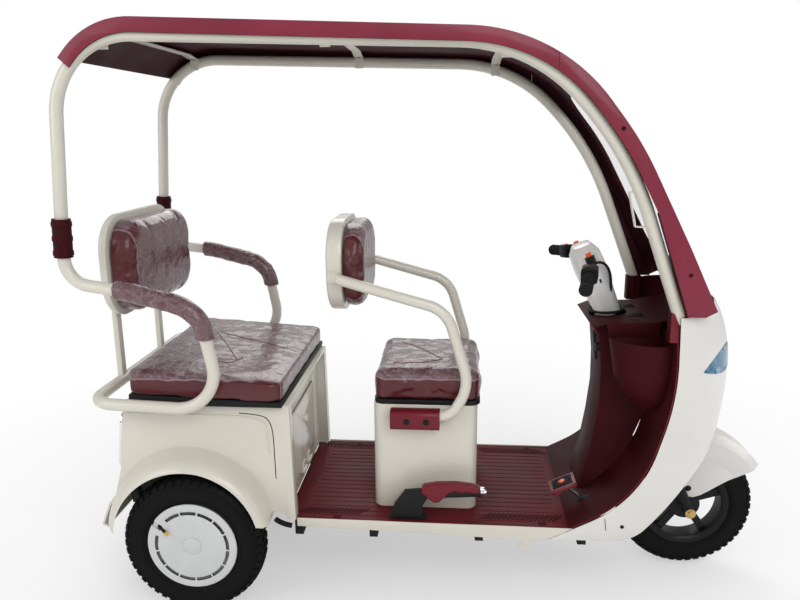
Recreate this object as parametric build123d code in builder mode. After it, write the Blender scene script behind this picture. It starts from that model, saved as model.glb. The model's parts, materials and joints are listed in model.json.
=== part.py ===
# Electric passenger tricycle with a canopy, in millimetres: +X forward, +Y left, +Z up, ground at Z 0
from build123d import *
import os
import math

# Wheels and axles
wheel_base = 1522
rear_axle_x = -700
front_axle_x = rear_axle_x + wheel_base
tyre_radius = 215
rear_tyre_width = 88
front_tyre_width = 80
bead_radius = 128
rear_half_track = 343
bead_share = 0.7
shoulder_share = 0.86
shoulder_drop = 16
bulge_rise = 34
fit_gap = 0.2
run_gap = 0.05
cover_radius = 135.4
cover_face = 41
slot_count = 13
slot_ring = 108
slot_width = 10
slot_bridge = 5
slot_depth = 6
valve_angle = 148
valve_notch = 17
valve_sector = 53
hub_radius = 30
axle_shaft_radius = 15
front_axle_radius = 8

# Floor, sills and the front body
floor_top = 259
floor_thick = 12
floor_half_width = 284
body_half_width = 288
skin = 4
trim_gap = 0.5
front_edge_path = [(325, 209), (606, 358), (691, 667), (679, 918)]
front_edge_radii = [359, 671]
apron_top = 918

# Steering axis, from the front axle up and back
rake_angle = 23.6
stem_radius = 17
fork_leg_offset = 75
grip_half_span = 330

# Canopy
tube_radius = 17.5
tube_half_span = 350
tube_foot_half_span = 268

# Driver's seat
seat_box_back = -178
seat_box_front = 140
seat_box_half_width = 188
seat_box_top = 600

# Rear seat and rear body
bench_back = -893
bench_front = -421
bench_half_width = 330
body_front = -410
rear_body_top = 632
rear_half_width = 300
rail_half_span = tube_half_span + 12


def steering_point(distance, offset=0):
    """A point on the steering axis, this far up from the front axle and this far ahead of it."""
    angle = math.radians(rake_angle)
    x = front_axle_x - distance * math.sin(angle) + offset * math.cos(angle)
    z = tyre_radius + distance * math.cos(angle) + offset * math.sin(angle)
    return x, z


def mirrored(points):
    """The same route on the other side of the vehicle."""
    return [(x, -y, z) for x, y, z in points]


def wheel_plane(axle_x, side_y):
    """Radius along X and width along Y, centred in the wheel."""
    return Plane(origin=(axle_x, side_y, tyre_radius), x_dir=(1, 0, 0), z_dir=(0, 0, 1))


def wheel_axis(axle_x):
    return Axis((axle_x, 0, tyre_radius), (0, 1, 0))


# Tyres: one rounded section turned round the axle
tyre_table = [
    # name, axle x, side y, width
    ("tyre_rear_right", rear_axle_x, -rear_half_track, rear_tyre_width),
    ("tyre_rear_left", rear_axle_x, rear_half_track, rear_tyre_width),
    ("tyre_front", front_axle_x, 0, front_tyre_width),
]
tyres = {}
for name, axle_x, side_y, width in tyre_table:
    half = width / 2
    with BuildPart() as tyre:
        with BuildSketch(wheel_plane(axle_x, side_y)):
            with BuildLine():
                bead = Line((bead_radius, -half * bead_share), (bead_radius, half * bead_share))
                shoulder = (tyre_radius - shoulder_drop, half * shoulder_share)
                wall = ThreePointArc(bead @ 1, (bead_radius + bulge_rise, half), shoulder)
                crown = ThreePointArc(wall @ 1, (tyre_radius, 0), (shoulder[0], -shoulder[1]))
                ThreePointArc(crown @ 1, (bead_radius + bulge_rise, -half), bead @ 0)
            make_face()
        revolve(axis=wheel_axis(axle_x))
    tyres[name] = tyre

# Rear wheel discs: rim well, flat slotted cover, hub and brake drum
drum_radius, drum_wall = 88, 6
drum_depth, hub_depth = 36, 38
cover_thick = 5
emboss_depth = 1.5
disc_profile = [
    # radius, distance outward from the wheel's middle
    (axle_shaft_radius + run_gap, -hub_depth),
    (hub_radius, -hub_depth),
    (hub_radius, 2),
    (drum_radius - drum_wall, 2),
    (drum_radius - drum_wall, -drum_depth),
    (drum_radius, -drum_depth),
    (drum_radius, 8),
    (118, 8),
    (122, -30),
    (bead_radius - fit_gap, -30),
    (bead_radius - fit_gap, 31.5),
    (131, 33.8),
    (cover_radius, 36.6),
    (cover_radius, cover_face - 2),
    (cover_radius - 2, cover_face),
    (hub_radius, cover_face),
    (hub_radius - 2, cover_face - emboss_depth),
    (0, cover_face - emboss_depth),
    (0, cover_face - cover_thick),
    (116, cover_face - cover_thick),
    (116, 12),
    (axle_shaft_radius + run_gap, 12),
]
rear_discs = {}
for name, sign in (("wheel_disc_rear_right", -1), ("wheel_disc_rear_left", 1)):
    centre_y = sign * rear_half_track
    with BuildPart() as disc:
        with BuildSketch(wheel_plane(rear_axle_x, centre_y)):
            with BuildLine():
                Polyline(*[(radius, sign * outward) for radius, outward in disc_profile], close=True)
            make_face()
        revolve(axis=wheel_axis(rear_axle_x))
        cover_plane = Plane(
            origin=(rear_axle_x, centre_y + sign * cover_face, tyre_radius), x_dir=(1, 0, 0), z_dir=(0, -1, 0),
        )
        with BuildSketch(cover_plane):
            Circle(slot_ring + slot_width / 2)
            Circle(slot_ring - slot_width / 2, mode=Mode.SUBTRACT)
            with PolarLocations(slot_ring, slot_count, start_angle=valve_angle + 180 / slot_count):
                Rectangle(2 * slot_width, slot_bridge, mode=Mode.SUBTRACT)
            with PolarLocations(slot_ring, 1, start_angle=valve_angle):
                Rectangle(2 * slot_width, valve_sector, mode=Mode.SUBTRACT)
        extrude(amount=sign * slot_depth, mode=Mode.SUBTRACT)
        with BuildSketch(cover_plane):
            with PolarLocations(cover_radius - valve_notch / 2, 1, start_angle=valve_angle):
                SlotCenterToCenter(2 * valve_notch, valve_notch)
        extrude(amount=sign * slot_depth, mode=Mode.SUBTRACT)
    rear_discs[name] = disc

# Front wheel: a cast rim with five spokes and a drum
rim_profile = [
    # radius, distance from the wheel's middle, from the well to the tyre seat
    (116, 28), (122, 34), (135, 39), (138, 37), (138, 34.6), (133, 32.2), (bead_radius - fit_gap, 28.6),
]
spoke_count, spoke_ring, spoke_length, spoke_width = 5, 80, 84, 24
spoke_disc_radius, spoke_thick = 52, 24
front_drum_radius = 48
front_drum_ends = (-32, 40)


def front_wheel_plane(side_y):
    """Across the front wheel at this Y, seen from its left side."""
    return Plane(origin=(front_axle_x, side_y, tyre_radius), x_dir=(1, 0, 0), z_dir=(0, -1, 0))


with BuildPart() as wheel_rim_front:
    with BuildSketch(wheel_plane(front_axle_x, 0)):
        with BuildLine():
            Polyline(
                *[(radius, -across) for radius, across in rim_profile],
                *rim_profile[::-1],
                close=True,
            )
        make_face()
    revolve(axis=wheel_axis(front_axle_x))
    with BuildSketch(front_wheel_plane(spoke_thick / 2)):
        with PolarLocations(spoke_ring, spoke_count, start_angle=90):
            Rectangle(spoke_length, spoke_width)
        Circle(spoke_disc_radius)
    extrude(amount=spoke_thick)
    with BuildSketch(front_wheel_plane(front_drum_ends[1])):
        Circle(front_drum_radius)
    extrude(amount=front_drum_ends[1] - front_drum_ends[0])
    with BuildSketch(front_wheel_plane(front_drum_ends[1] + 10)):
        Circle(front_axle_radius + run_gap)
    extrude(amount=100, mode=Mode.SUBTRACT)

# Fork: two legs with the wheel's axle, a crown and the steering stem
axis_direction = (-math.sin(math.radians(rake_angle)), 0, math.cos(math.radians(rake_angle)))
crown_distance = 296
stem_top_distance = 880
bar_radius = 11
crown_x, crown_z = steering_point(crown_distance)
leg_radius, slider_radius, slider_length = 13, 16, 170
lug_radius, nut_radius = 18, 11
lug_length, nut_length = 26, 34
crown_width, crown_thick = 44, 22
with BuildPart() as fork:
    for side in (-1, 1):
        leg_plane = Plane(origin=(front_axle_x, side * fork_leg_offset, tyre_radius), z_dir=axis_direction)
        for radius, length in ((leg_radius, crown_distance), (slider_radius, slider_length)):
            with BuildSketch(leg_plane):
                Circle(radius)
            extrude(amount=length)
        lug_plane = Plane(
            origin=(front_axle_x, side * (fork_leg_offset - slider_radius), tyre_radius),
            x_dir=(1, 0, 0), z_dir=(0, side, 0),
        )
        for radius, length in ((lug_radius, lug_length), (nut_radius, nut_length)):
            with BuildSketch(lug_plane):
                Circle(radius)
            extrude(amount=length)
    with BuildSketch(front_wheel_plane(fork_leg_offset)):
        Circle(front_axle_radius)
    extrude(amount=2 * fork_leg_offset)
    crown_plane = Plane(origin=(crown_x, 0, crown_z), z_dir=axis_direction)
    with BuildSketch(crown_plane):
        SlotCenterToCenter(2 * fork_leg_offset, crown_width, rotation=90)
    extrude(amount=crown_thick)
    with BuildSketch(crown_plane):
        Circle(stem_radius)
    extrude(amount=stem_top_distance - bar_radius - 3 - crown_distance)

# Front mudguard, on the fork: a deep rounded channel over the wheel
guard_radius = 262
guard_half_width = 62
guard_wall = 3
guard_chamfer = 24
guard_inner_radius = 150
guard_section = [
    # radius, half width, from the skirt's edge to the crown
    (guard_inner_radius, guard_half_width), (guard_radius - guard_chamfer, guard_half_width),
    (guard_radius, guard_half_width - guard_chamfer),
]
guard_trim = [
    # ahead of the axle, above it: everything below this line is cut away
    (-120, 34), (20, 44), (100, 95), (300, 190), (300, -315), (-400, -315), (-400, 34),
]
with BuildPart() as front_mudguard:
    for inset, mode in ((0, Mode.ADD), (guard_wall, Mode.SUBTRACT)):
        with BuildSketch(wheel_plane(front_axle_x, 0)):
            with BuildLine():
                outer = [(radius - (inset if radius > guard_inner_radius else 0), half - inset) for radius, half in guard_section]
                Polyline(*[(radius, -half) for radius, half in outer], *outer[::-1], close=True)
            make_face()
        revolve(axis=wheel_axis(front_axle_x), mode=mode)
    with BuildSketch(Plane.XZ.offset(-200)):
        with BuildLine():
            Polyline(*[(front_axle_x + ahead, tyre_radius + above) for ahead, above in guard_trim], close=True)
        make_face()
    extrude(amount=400, mode=Mode.SUBTRACT)
    for side in (-1, 1):
        with BuildSketch(Plane(origin=(front_axle_x, side * fork_leg_offset, tyre_radius), z_dir=axis_direction)):
            Circle(slider_radius + trim_gap)
        extrude(amount=crown_distance, mode=Mode.SUBTRACT)
    with BuildSketch(crown_plane):
        SlotCenterToCenter(2 * fork_leg_offset, crown_width + 2, rotation=90)
    extrude(amount=60, mode=Mode.SUBTRACT)

# Handlebar, swept back to the grips
clamp_x, clamp_z = steering_point(stem_top_distance)
grip_back, grip_drop = 55, 28
grip_x = clamp_x - grip_back
grip_z = clamp_z - grip_drop
bar_rise, bar_middle = 4, 90
bar_bend = 60
bar_route = [
    (grip_x, -grip_half_span, grip_z), (clamp_x + bar_rise, -bar_middle, clamp_z + bar_rise),
    (clamp_x + bar_rise, bar_middle, clamp_z + bar_rise), (grip_x, grip_half_span, grip_z),
]
boss_y = 112
boss_x, boss_z = clamp_x - 1.2, clamp_z + 1.1
boss_radius, boss_height = 11, 26
boss_hole_radius, boss_hole_depth = 4, 14
with BuildPart() as handlebar:
    with BuildLine() as bar_line:
        FilletPolyline(*bar_route, radius=bar_bend)
    with BuildSketch(Plane(origin=bar_line.line @ 0, z_dir=bar_line.line % 0)):
        Circle(bar_radius)
    sweep()
    for side in (-1, 1):
        boss_plane = Plane(origin=(boss_x, side * boss_y, boss_z), z_dir=axis_direction)
        with BuildSketch(boss_plane):
            Circle(boss_radius)
        extrude(amount=boss_height)
        with BuildSketch(boss_plane.offset(boss_height - boss_hole_depth)):
            Circle(boss_hole_radius)
        extrude(amount=boss_hole_depth, mode=Mode.SUBTRACT)

# Grips with their switch housings and levers, and the headset cover round the stem
grip_radius, grip_length = 17, 112
switch_size = 46
with BuildPart() as handlebar_controls:
    for side in (-1, 1):
        bar_end = Vector(grip_x, side * grip_half_span, grip_z)
        inward = (Vector(clamp_x + bar_rise, side * bar_middle, clamp_z + bar_rise) - bar_end).normalized()
        grip_plane = Plane(origin=bar_end - inward * 3, z_dir=inward)
        with BuildSketch(grip_plane):
            Circle(grip_radius)
        extrude(amount=grip_length)
        with BuildSketch(grip_plane.offset(grip_length)):
            RectangleRounded(switch_size, switch_size - 2, 9)
        extrude(amount=switch_size)
        with BuildSketch(grip_plane.offset(-1)):
            Circle(bar_radius + fit_gap)
        extrude(amount=grip_length + switch_size + 12, mode=Mode.SUBTRACT)

cover_table = [
    # distance up the steering axis, width, length, corner radius
    (stem_top_distance - 188, 84, 76, 24),
    (stem_top_distance - 30, 132, 92, 34),
    (stem_top_distance + 20, 128, 86, 34),
    (stem_top_distance + 46, 90, 56, 26),
]
with BuildPart() as headset_cover:
    for distance, width, length, corner in cover_table:
        level_x, level_z = steering_point(distance)
        with BuildSketch(Plane(origin=(level_x, 0, level_z), x_dir=(0, 1, 0), z_dir=axis_direction)):
            RectangleRounded(width, length, corner)
    loft(ruled=True)
    low_x, low_z = steering_point(cover_table[0][0])
    with BuildSketch(Plane(origin=(low_x, 0, low_z), x_dir=(0, 1, 0), z_dir=axis_direction)):
        Circle(stem_radius + fit_gap)
    extrude(amount=stem_top_distance - cover_table[0][0], mode=Mode.SUBTRACT)
    with BuildLine() as bar_hole_line:
        FilletPolyline(*bar_route, radius=bar_bend)
    with BuildSketch(Plane(origin=bar_hole_line.line @ 0, z_dir=bar_hole_line.line % 0)):
        Circle(bar_radius + fit_gap)
    sweep(mode=Mode.SUBTRACT)

# Leaf springs: three curved leaves a side
spring_y = 215
spring_half_width = 22
spring_rise = 42
leaf_thick = 6
spring_leaves = [
    # half length, underside at the middle
    (230, 245), (170, 251), (110, 257),
]
with BuildPart() as leaf_springs:
    for side in (-1, 1):
        for half_length, low in spring_leaves:
            with BuildSketch(Plane.XZ.offset(-side * spring_y - spring_half_width)):
                with BuildLine():
                    back, front = rear_axle_x - half_length, rear_axle_x + half_length
                    end_z = low + spring_rise * (half_length / spring_leaves[0][0]) ** 2
                    lower = ThreePointArc((back, end_z), (rear_axle_x, low), (front, end_z))
                    tip = Line(lower @ 1, (front, end_z + leaf_thick))
                    upper = ThreePointArc(tip @ 1, (rear_axle_x, low + leaf_thick), (back, end_z + leaf_thick))
                    Line(upper @ 1, lower @ 0)
                make_face()
            extrude(amount=2 * spring_half_width)

# Chassis: floor rails, cross members, rear kick-up, head tube and the front uprights
rail_y = 170
rail_low, rail_high = 200, 230
kick_low, kick_high = 300, 330
rail_width = 30
member_width = 25
member_half_span = 270
rear_member_half_span = 250
hanger_wall = 5
rail_profile = [
    (470, rail_low), (470, rail_high), (-420, rail_high), (-500, kick_high), (-940, kick_high),
    (-940, kick_low), (-514, kick_low), (-434, rail_low),
]
floor_member_backs = (-415, -185, 135, 440)
rear_member_backs = (-530, -940)
with BuildPart() as chassis_frame:
    for side in (-1, 1):
        with BuildSketch(Plane.XZ.offset(-side * rail_y - rail_width / 2)):
            with BuildLine():
                Polyline(*rail_profile, close=True)
            make_face()
        extrude(amount=rail_width)
    for member_x in floor_member_backs:
        with BuildSketch(Plane.YZ.offset(member_x)):
            with Locations((0, (rail_low + floor_top - floor_thick) / 2)):
                Rectangle(2 * member_half_span, floor_top - floor_thick - rail_low)
        extrude(amount=member_width)
    for member_x in rear_member_backs:
        with BuildSketch(Plane.YZ.offset(member_x)):
            with Locations((0, (kick_low + kick_high) / 2)):
                Rectangle(2 * rear_member_half_span, kick_high - kick_low - 2)
            with Locations((-spring_y, kick_low - 12), (spring_y, kick_low - 12)):
                Rectangle(2 * (spring_half_width + hanger_wall), 30)
        extrude(amount=member_width)
    add(leaf_springs.part, mode=Mode.SUBTRACT)

# Head tube with the down tube that carries it
head_low_x, head_low_z = steering_point(400)
head_tube_radius, head_tube_length = 27, 270
down_tube_radius = 22
down_top_x, down_top_z = steering_point(475)
with BuildPart() as head_tube:
    with BuildSketch(Plane(origin=(head_low_x, 0, head_low_z), z_dir=axis_direction)):
        Circle(head_tube_radius)
    extrude(amount=head_tube_length)
    with BuildLine() as down_tube:
        FilletPolyline((462, 0, 233.5), (540, 0, 300), (575, 0, 470), (down_top_x, 0, down_top_z), radius=60)
    with BuildSketch(Plane(origin=down_tube.line @ 0, z_dir=down_tube.line % 0)):
        Circle(down_tube_radius)
    sweep()
    with BuildSketch(Plane(origin=(head_low_x, 0, head_low_z), z_dir=axis_direction)):
        Circle(stem_radius + run_gap)
    extrude(amount=head_tube_length + 10, mode=Mode.SUBTRACT)
    add(chassis_frame.part, mode=Mode.SUBTRACT)

# Uprights from the floor frame to the canopy's feet
upright_radius = 14
with BuildPart() as front_uprights:
    for side in (-1, 1):
        with BuildLine() as upright:
            FilletPolyline(
                (450, side * 248, 238), (565, side * 250, 295), (672, side * 252, 500),
                (705, side * 254, 700), (709, side * 264.7, 833), (688, side * tube_foot_half_span, 888.9), radius=80,
            )
        with BuildSketch(Plane(origin=upright.line @ 0, z_dir=upright.line % 0)):
            Circle(upright_radius)
        sweep()
    add(chassis_frame.part, mode=Mode.SUBTRACT)

# Rear axle with its spring seats, the drums' backing plates and the gear housing
seat_margin = 3
seat_length, seat_height, seat_rise = 70, 36, 18
axle_tube_radius, plate_radius, plate_thick = 27, 80, 5
gear_radius, gear_start, gear_length = 62, 20, 80
motor_radius, motor_length, motor_ahead, motor_rise = 72, 120, 118, 6


def rear_axle_plane(side_y, ahead=0, above=0):
    """Across the rear axle at this Y, facing left."""
    return Plane(origin=(rear_axle_x + ahead, side_y, tyre_radius + above), x_dir=(1, 0, 0), z_dir=(0, 1, 0))


with BuildPart() as rear_axle:
    for side in (-1, 1):
        with BuildSketch(rear_axle_plane(side * spring_y - spring_half_width - seat_margin, 0, seat_rise)):
            Rectangle(seat_length, seat_height)
        extrude(amount=2 * (spring_half_width + seat_margin))
    with BuildSketch(rear_axle_plane(-rear_half_track + 50)):
        Circle(axle_tube_radius)
    extrude(amount=2 * (rear_half_track - 50))
    for side in (-1, 1):
        plate_y = side * (rear_half_track - 46 - plate_thick / 2) - plate_thick / 2
        with BuildSketch(rear_axle_plane(plate_y)):
            Circle(plate_radius)
        extrude(amount=plate_thick)
    with BuildSketch(rear_axle_plane(-rear_half_track - 8)):
        Circle(axle_shaft_radius)
    extrude(amount=2 * (rear_half_track + 8))
    with BuildSketch(rear_axle_plane(gear_start)):
        Circle(gear_radius)
    extrude(amount=gear_length)
    add(leaf_springs.part, mode=Mode.SUBTRACT)

with BuildPart() as drive_motor:
    with BuildSketch(rear_axle_plane(-motor_length / 2, motor_ahead, motor_rise)):
        Circle(motor_radius)
    extrude(amount=motor_length)
    with BuildSketch(rear_axle_plane(30, 40)):
        Rectangle(60, 50)
    extrude(amount=24)
    with BuildSketch(rear_axle_plane(0)):
        Circle(gear_radius + fit_gap)
    extrude(amount=motor_length, mode=Mode.SUBTRACT)

# Floor pan with lengthwise grooves, and the side sills with their holed tabs
floor_front = 420
floor_back, floor_back_half_width = -439.5, 261
groove_count = 19
groove_pitch = 28
groove_depth = 1.5
groove_width = 4
groove_half_length = 380
with BuildPart() as footboard:
    with BuildSketch(Plane.XY.offset(floor_top - floor_thick)):
        with Locations(((body_front + floor_front) / 2, 0)):
            Rectangle(floor_front - body_front, 2 * floor_half_width)
        with Locations(((floor_back + body_front) / 2, 0)):
            Rectangle(body_front - floor_back, 2 * floor_back_half_width)
    extrude(amount=floor_thick)
    add(chassis_frame.part, mode=Mode.SUBTRACT)
    with BuildSketch(Plane.XY.offset(floor_top)):
        with GridLocations(0, groove_pitch, 1, groove_count):
            Rectangle(2 * groove_half_length, groove_width)
    extrude(amount=-groove_depth, mode=Mode.SUBTRACT)

sill_profile = [(-404, 238), (-90, 231), (210, 221), (347, 222), (421, 261.5), (-404, 265)]
tab_x, tab_hole_z = 282, 204
tab_width, tab_height = 34, 46
tab_corner = 8
tab_hole_radius = 5.5
with BuildPart() as side_sills:
    for side in (-1, 1):
        sill_plane = Plane.XZ.offset(-side * (floor_half_width + trim_gap) - (skin if side > 0 else 0))
        with BuildSketch(sill_plane):
            with BuildLine():
                Polyline(*sill_profile, close=True)
            make_face()
        extrude(amount=skin)
        with BuildSketch(sill_plane):
            with Locations((tab_x, tab_hole_z + tab_height / 2 - tab_width / 2)):
                RectangleRounded(tab_width, tab_height, tab_corner)
            with Locations((tab_x, tab_hole_z)):
                Circle(tab_hole_radius, mode=Mode.SUBTRACT)
        extrude(amount=skin)

# Front apron: a rounded nose shell, lofted through level sections
apron_sections = [
    # level z, half width, nose x, corner radius
    (200, 288, 858, 240),
    (480, 290, 872, 250),
    (680, 291, 891, 250),
    (800, 295, 878, 235),
    (950, 300, 805, 180),
]


def nose_solid(inset):
    """The nose's rounded outline at every level, drawn in by this much."""
    with BuildPart() as nose:
        for level, half_width, nose_x, corner in apron_sections:
            with BuildSketch(Plane.XY.offset(level)):
                with BuildLine():
                    side = half_width - inset
                    tip = nose_x - inset
                    radius = corner - inset
                    right = Line((300, -side), (tip - radius, -side))
                    turn_right = RadiusArc(right @ 1, (tip, -side + radius), -radius)
                    front = Line(turn_right @ 1, (tip, side - radius))
                    turn_left = RadiusArc(front @ 1, (tip - radius, side), -radius)
                    left = Line(turn_left @ 1, (300, side))
                    Line(left @ 1, right @ 0)
                make_face()
        loft()
    return nose.part


lamp_z = 762
lamp_outer_y, lamp_inner_y = 262, 92
lamp_top_y, lamp_rise = 190, 42
lamp_low_y, lamp_drop = 180, 34


def lamp_shape(side, grow):
    """A headlamp's almond outline, as a bar along X through the nose."""
    with BuildPart() as shape:
        with BuildSketch(Plane.YZ.offset(640)):
            with BuildLine():
                outer_corner = (side * (lamp_outer_y + grow), lamp_z - 18)
                inner_corner = (side * (lamp_inner_y - grow), lamp_z + 4)
                upper = ThreePointArc(outer_corner, (side * lamp_top_y, lamp_z + lamp_rise + grow), inner_corner)
                ThreePointArc(upper @ 1, (side * lamp_low_y, lamp_z - lamp_drop - grow), upper @ 0)
            make_face()
        extrude(amount=300)
    return shape.part


outer_nose = nose_solid(0)
inner_nose = nose_solid(skin)

full_half_width = 400
apron_lower_path = [(300, 224), (590, 228), (760, 415), (1000, 640)]
apron_lower_radii = [120, 400]
apron_rim_path = [(500, apron_top - 10), (700, apron_top - 10), (860, apron_top + 28), (1000, apron_top + 28)]
with BuildPart() as front_apron:
    add(outer_nose)
    add(inner_nose, mode=Mode.SUBTRACT)
    with BuildSketch(Plane.XZ.offset(-full_half_width)):
        with BuildLine():
            edge = FilletPolyline(*front_edge_path, radius=front_edge_radii)
            Polyline(edge @ 1, (679, 1000), (200, 1000), (200, 209), edge @ 0)
        make_face()
    extrude(amount=2 * full_half_width, mode=Mode.SUBTRACT)
    with BuildSketch(Plane.XZ.offset(-full_half_width)):
        with BuildLine():
            lower = FilletPolyline(*apron_lower_path, radius=apron_lower_radii)
            Polyline(lower @ 1, (1000, 0), (300, 0), lower @ 0)
        make_face()
    extrude(amount=2 * full_half_width, mode=Mode.SUBTRACT)
    with BuildSketch(Plane.XZ.offset(-full_half_width)):
        with BuildLine():
            Polyline(*apron_rim_path, (1000, 1100), (500, 1100), close=True)
        make_face()
    extrude(amount=2 * full_half_width, mode=Mode.SUBTRACT)
    add([lamp_shape(-1, fit_gap), lamp_shape(1, fit_gap)], mode=Mode.SUBTRACT)

# Canopy tubes: rear pillar, roof run and front pillar in one bent tube a side
tube_joint_z = 1130
tube_route = [
    (-1010, tube_half_span, tube_joint_z), (-972, tube_half_span, 1660), (254, tube_half_span - 21, 1622),
    (515, tube_half_span - 55, 1348), (688, tube_foot_half_span, 889),
]
tube_bends = [212, 440, 880]

# Leg shield: the inner wall behind the apron, with the hollow steering column cover
column_half_width = 85
steering_hole = 54
column_profile = [(456, 262), (492, 393), (508, 500), (518, 605), (516, 708), (506, 800), (480, 838)]
column_back = [(690, 838), (690, 650), (600, 400), (480, 285)]
dash_half_width = 150
ear_back, ear_front = 656, 704
ear_low, ear_inner = 836, 243.5
with BuildPart() as leg_shield:
    with BuildSketch(Plane.XZ.offset(-(floor_half_width - trim_gap))):
        with BuildLine():
            wall_path = [(x - trim_gap, z + trim_gap) for x, z in front_edge_path]
            wall = FilletPolyline(*wall_path, radius=front_edge_radii)
            offset(wall, amount=skin, side=Side.LEFT)
        make_face()
    extrude(amount=2 * (floor_half_width - trim_gap))
    with BuildSketch(Plane.XY):
        Rectangle(844, 700)
    extrude(amount=floor_top, mode=Mode.SUBTRACT)
    with BuildSketch(Plane.YZ.offset(600)):
        with Locations((0, 920)):
            Rectangle(2 * 240, 160)
    extrude(amount=200, mode=Mode.SUBTRACT)
    with BuildSketch(Plane.XZ.offset(-column_half_width)):
        with BuildLine():
            Polyline(*column_profile, *column_back, close=True)
        make_face()
    extrude(amount=2 * column_half_width)
    with BuildSketch(Plane.XZ.offset(-column_half_width + skin)):
        with BuildLine():
            inner = [(x + skin, z - (20 if z > 830 else 0)) for x, z in column_profile]
            Polyline(*inner, (800, 818), (800, 650), (640, 390), (510, 262), close=True)
        make_face()
    extrude(amount=2 * (column_half_width - skin), mode=Mode.SUBTRACT)
    with BuildSketch(Plane(origin=(head_low_x, 0, head_low_z), z_dir=axis_direction)):
        Circle(steering_hole)
    extrude(amount=400, mode=Mode.SUBTRACT)
    for side in (-1, 1):
        with BuildSketch(Plane.XY.offset(ear_low)):
            with Locations(((ear_back + ear_front) / 2, side * (floor_half_width - trim_gap + ear_inner) / 2)):
                RectangleRounded(ear_front - ear_back, floor_half_width - trim_gap - ear_inner, 8)
        extrude(amount=apron_top - ear_low)
    for route in (tube_route, mirrored(tube_route)):
        with BuildLine() as ear_hole:
            Line(route[-1], route[-2])
        with BuildSketch(Plane(origin=ear_hole.line @ 0, z_dir=ear_hole.line % 0).offset(-120)):
            Circle(tube_radius + trim_gap)
        extrude(amount=220, mode=Mode.SUBTRACT)

# Dash top: a sloping shelf from the column to the windscreen
dash_profile = [
    (474, 838.5), (505, 852), (654, 858), (770, 885), (770, 881), (655, 854), (506, 848), (482, 838.5),
]
dash_wall_profile = [(530, 780), (514, 850), (655, 856), (670, 859.6), (670, 780)]
with BuildPart() as dash_panel:
    with BuildSketch(Plane.XZ.offset(-dash_half_width)):
        with BuildLine():
            Polyline(*dash_profile, close=True)
        make_face()
    extrude(amount=2 * dash_half_width)
    for wall_start in (-dash_half_width, dash_half_width - skin):
        with BuildSketch(Plane.XZ.offset(wall_start)):
            with BuildLine():
                Polyline(*dash_wall_profile, close=True)
            make_face()
        extrude(amount=skin)
    with BuildSketch(Plane(origin=(head_low_x, 0, head_low_z), z_dir=axis_direction)):
        Circle(steering_hole)
    extrude(amount=400, mode=Mode.SUBTRACT)

# Glove pockets, open bins either side of the dash
pocket_wall = 3
pocket_sections = [
    # level z, inner y, rear x, bow x, bow y, outer y
    (812, 154, 520, 575, 232, 240),
    (700, 154, 540, 590, 225, 228),
    (640, 154, 575, 605, 205, 210),
    (600, 154, 605, 630, 180, 185),
]
pocket_front = {812: 684, 700: 684, 640: 680, 600: 672}


def pocket_solid(side, inset, lift):
    with BuildPart() as pocket:
        for level, inner_y, rear_x, bow_x, bow_y, outer_y in pocket_sections:
            with BuildSketch(Plane.XY.offset(level + lift)):
                with BuildLine():
                    front = pocket_front[level] - inset
                    bow = ThreePointArc(
                        (rear_x + inset, side * (inner_y + inset)),
                        (bow_x + inset, side * (bow_y - inset)),
                        (front, side * (outer_y - inset)),
                    )
                    Polyline(bow @ 1, (front, side * (inner_y + inset)), bow @ 0)
                make_face()
        loft(ruled=True)
    return pocket.part


with BuildPart() as glove_pockets:
    for side in (-1, 1):
        add(pocket_solid(side, 0, 0))
        add(pocket_solid(side, pocket_wall, pocket_wall), mode=Mode.SUBTRACT)
    with BuildSketch(Plane.XZ.offset(-full_half_width)):
        with BuildLine():
            wall_shift = trim_gap + skin + fit_gap
            face_path = [(x - wall_shift, z + trim_gap) for x, z in front_edge_path]
            wall_face = FilletPolyline(*face_path, radius=front_edge_radii)
            Polyline(wall_face @ 1, (900, apron_top), (900, 200), wall_face @ 0)
        make_face()
    extrude(amount=2 * full_half_width, mode=Mode.SUBTRACT)

# Canopy tubes
with BuildPart() as canopy_tubes:
    for route in (tube_route, mirrored(tube_route)):
        with BuildLine() as centre:
            FilletPolyline(*route, radius=tube_bends)
        with BuildSketch(Plane(origin=centre.line @ 0, z_dir=centre.line % 0)):
            Circle(tube_radius)
        sweep()

# Roof shell and the windscreen surround, cut from one curved form
roof_path = [(-955, 1597), (-867, 1698), (317, 1649), (541, 1372), (686, 1101), (772, 929)]
roof_bends = [235, 480, 894, 700]
roof_drop = 38
roof_seam_x = 318
roof_half_back = tube_half_span + 23
roof_half_front = tube_foot_half_span + 32


def roof_band(start_depth, end_depth, inset):
    """The curved band between two depths below the roof's outer line, narrowing to the front."""
    with BuildPart() as band:
        with BuildSketch(Plane.XZ.offset(-full_half_width)):
            with BuildLine():
                outer = FilletPolyline(*roof_path, radius=roof_bends)
                offset(outer, amount=end_depth, side=Side.RIGHT)
            make_face()
            if start_depth > 0:
                with BuildLine():
                    outer = FilletPolyline(*roof_path, radius=roof_bends)
                    offset(outer, amount=start_depth, side=Side.RIGHT)
                make_face(mode=Mode.SUBTRACT)
        extrude(amount=2 * full_half_width)
        with BuildSketch(Plane.XY.offset(800)):
            with BuildLine():
                back = roof_half_back - inset
                front = roof_half_front - inset
                Polyline(
                    (-1100, -back), (90, -back), (772, -front), (900, -front),
                    (900, front), (772, front), (90, back), (-1100, back), close=True,
                )
            make_face()
        extrude(amount=1000, mode=Mode.INTERSECT)
    return band.part


roof_block = roof_band(0, roof_drop, 0)
roof_hollow = roof_band(skin, roof_drop + 20, skin)

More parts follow.
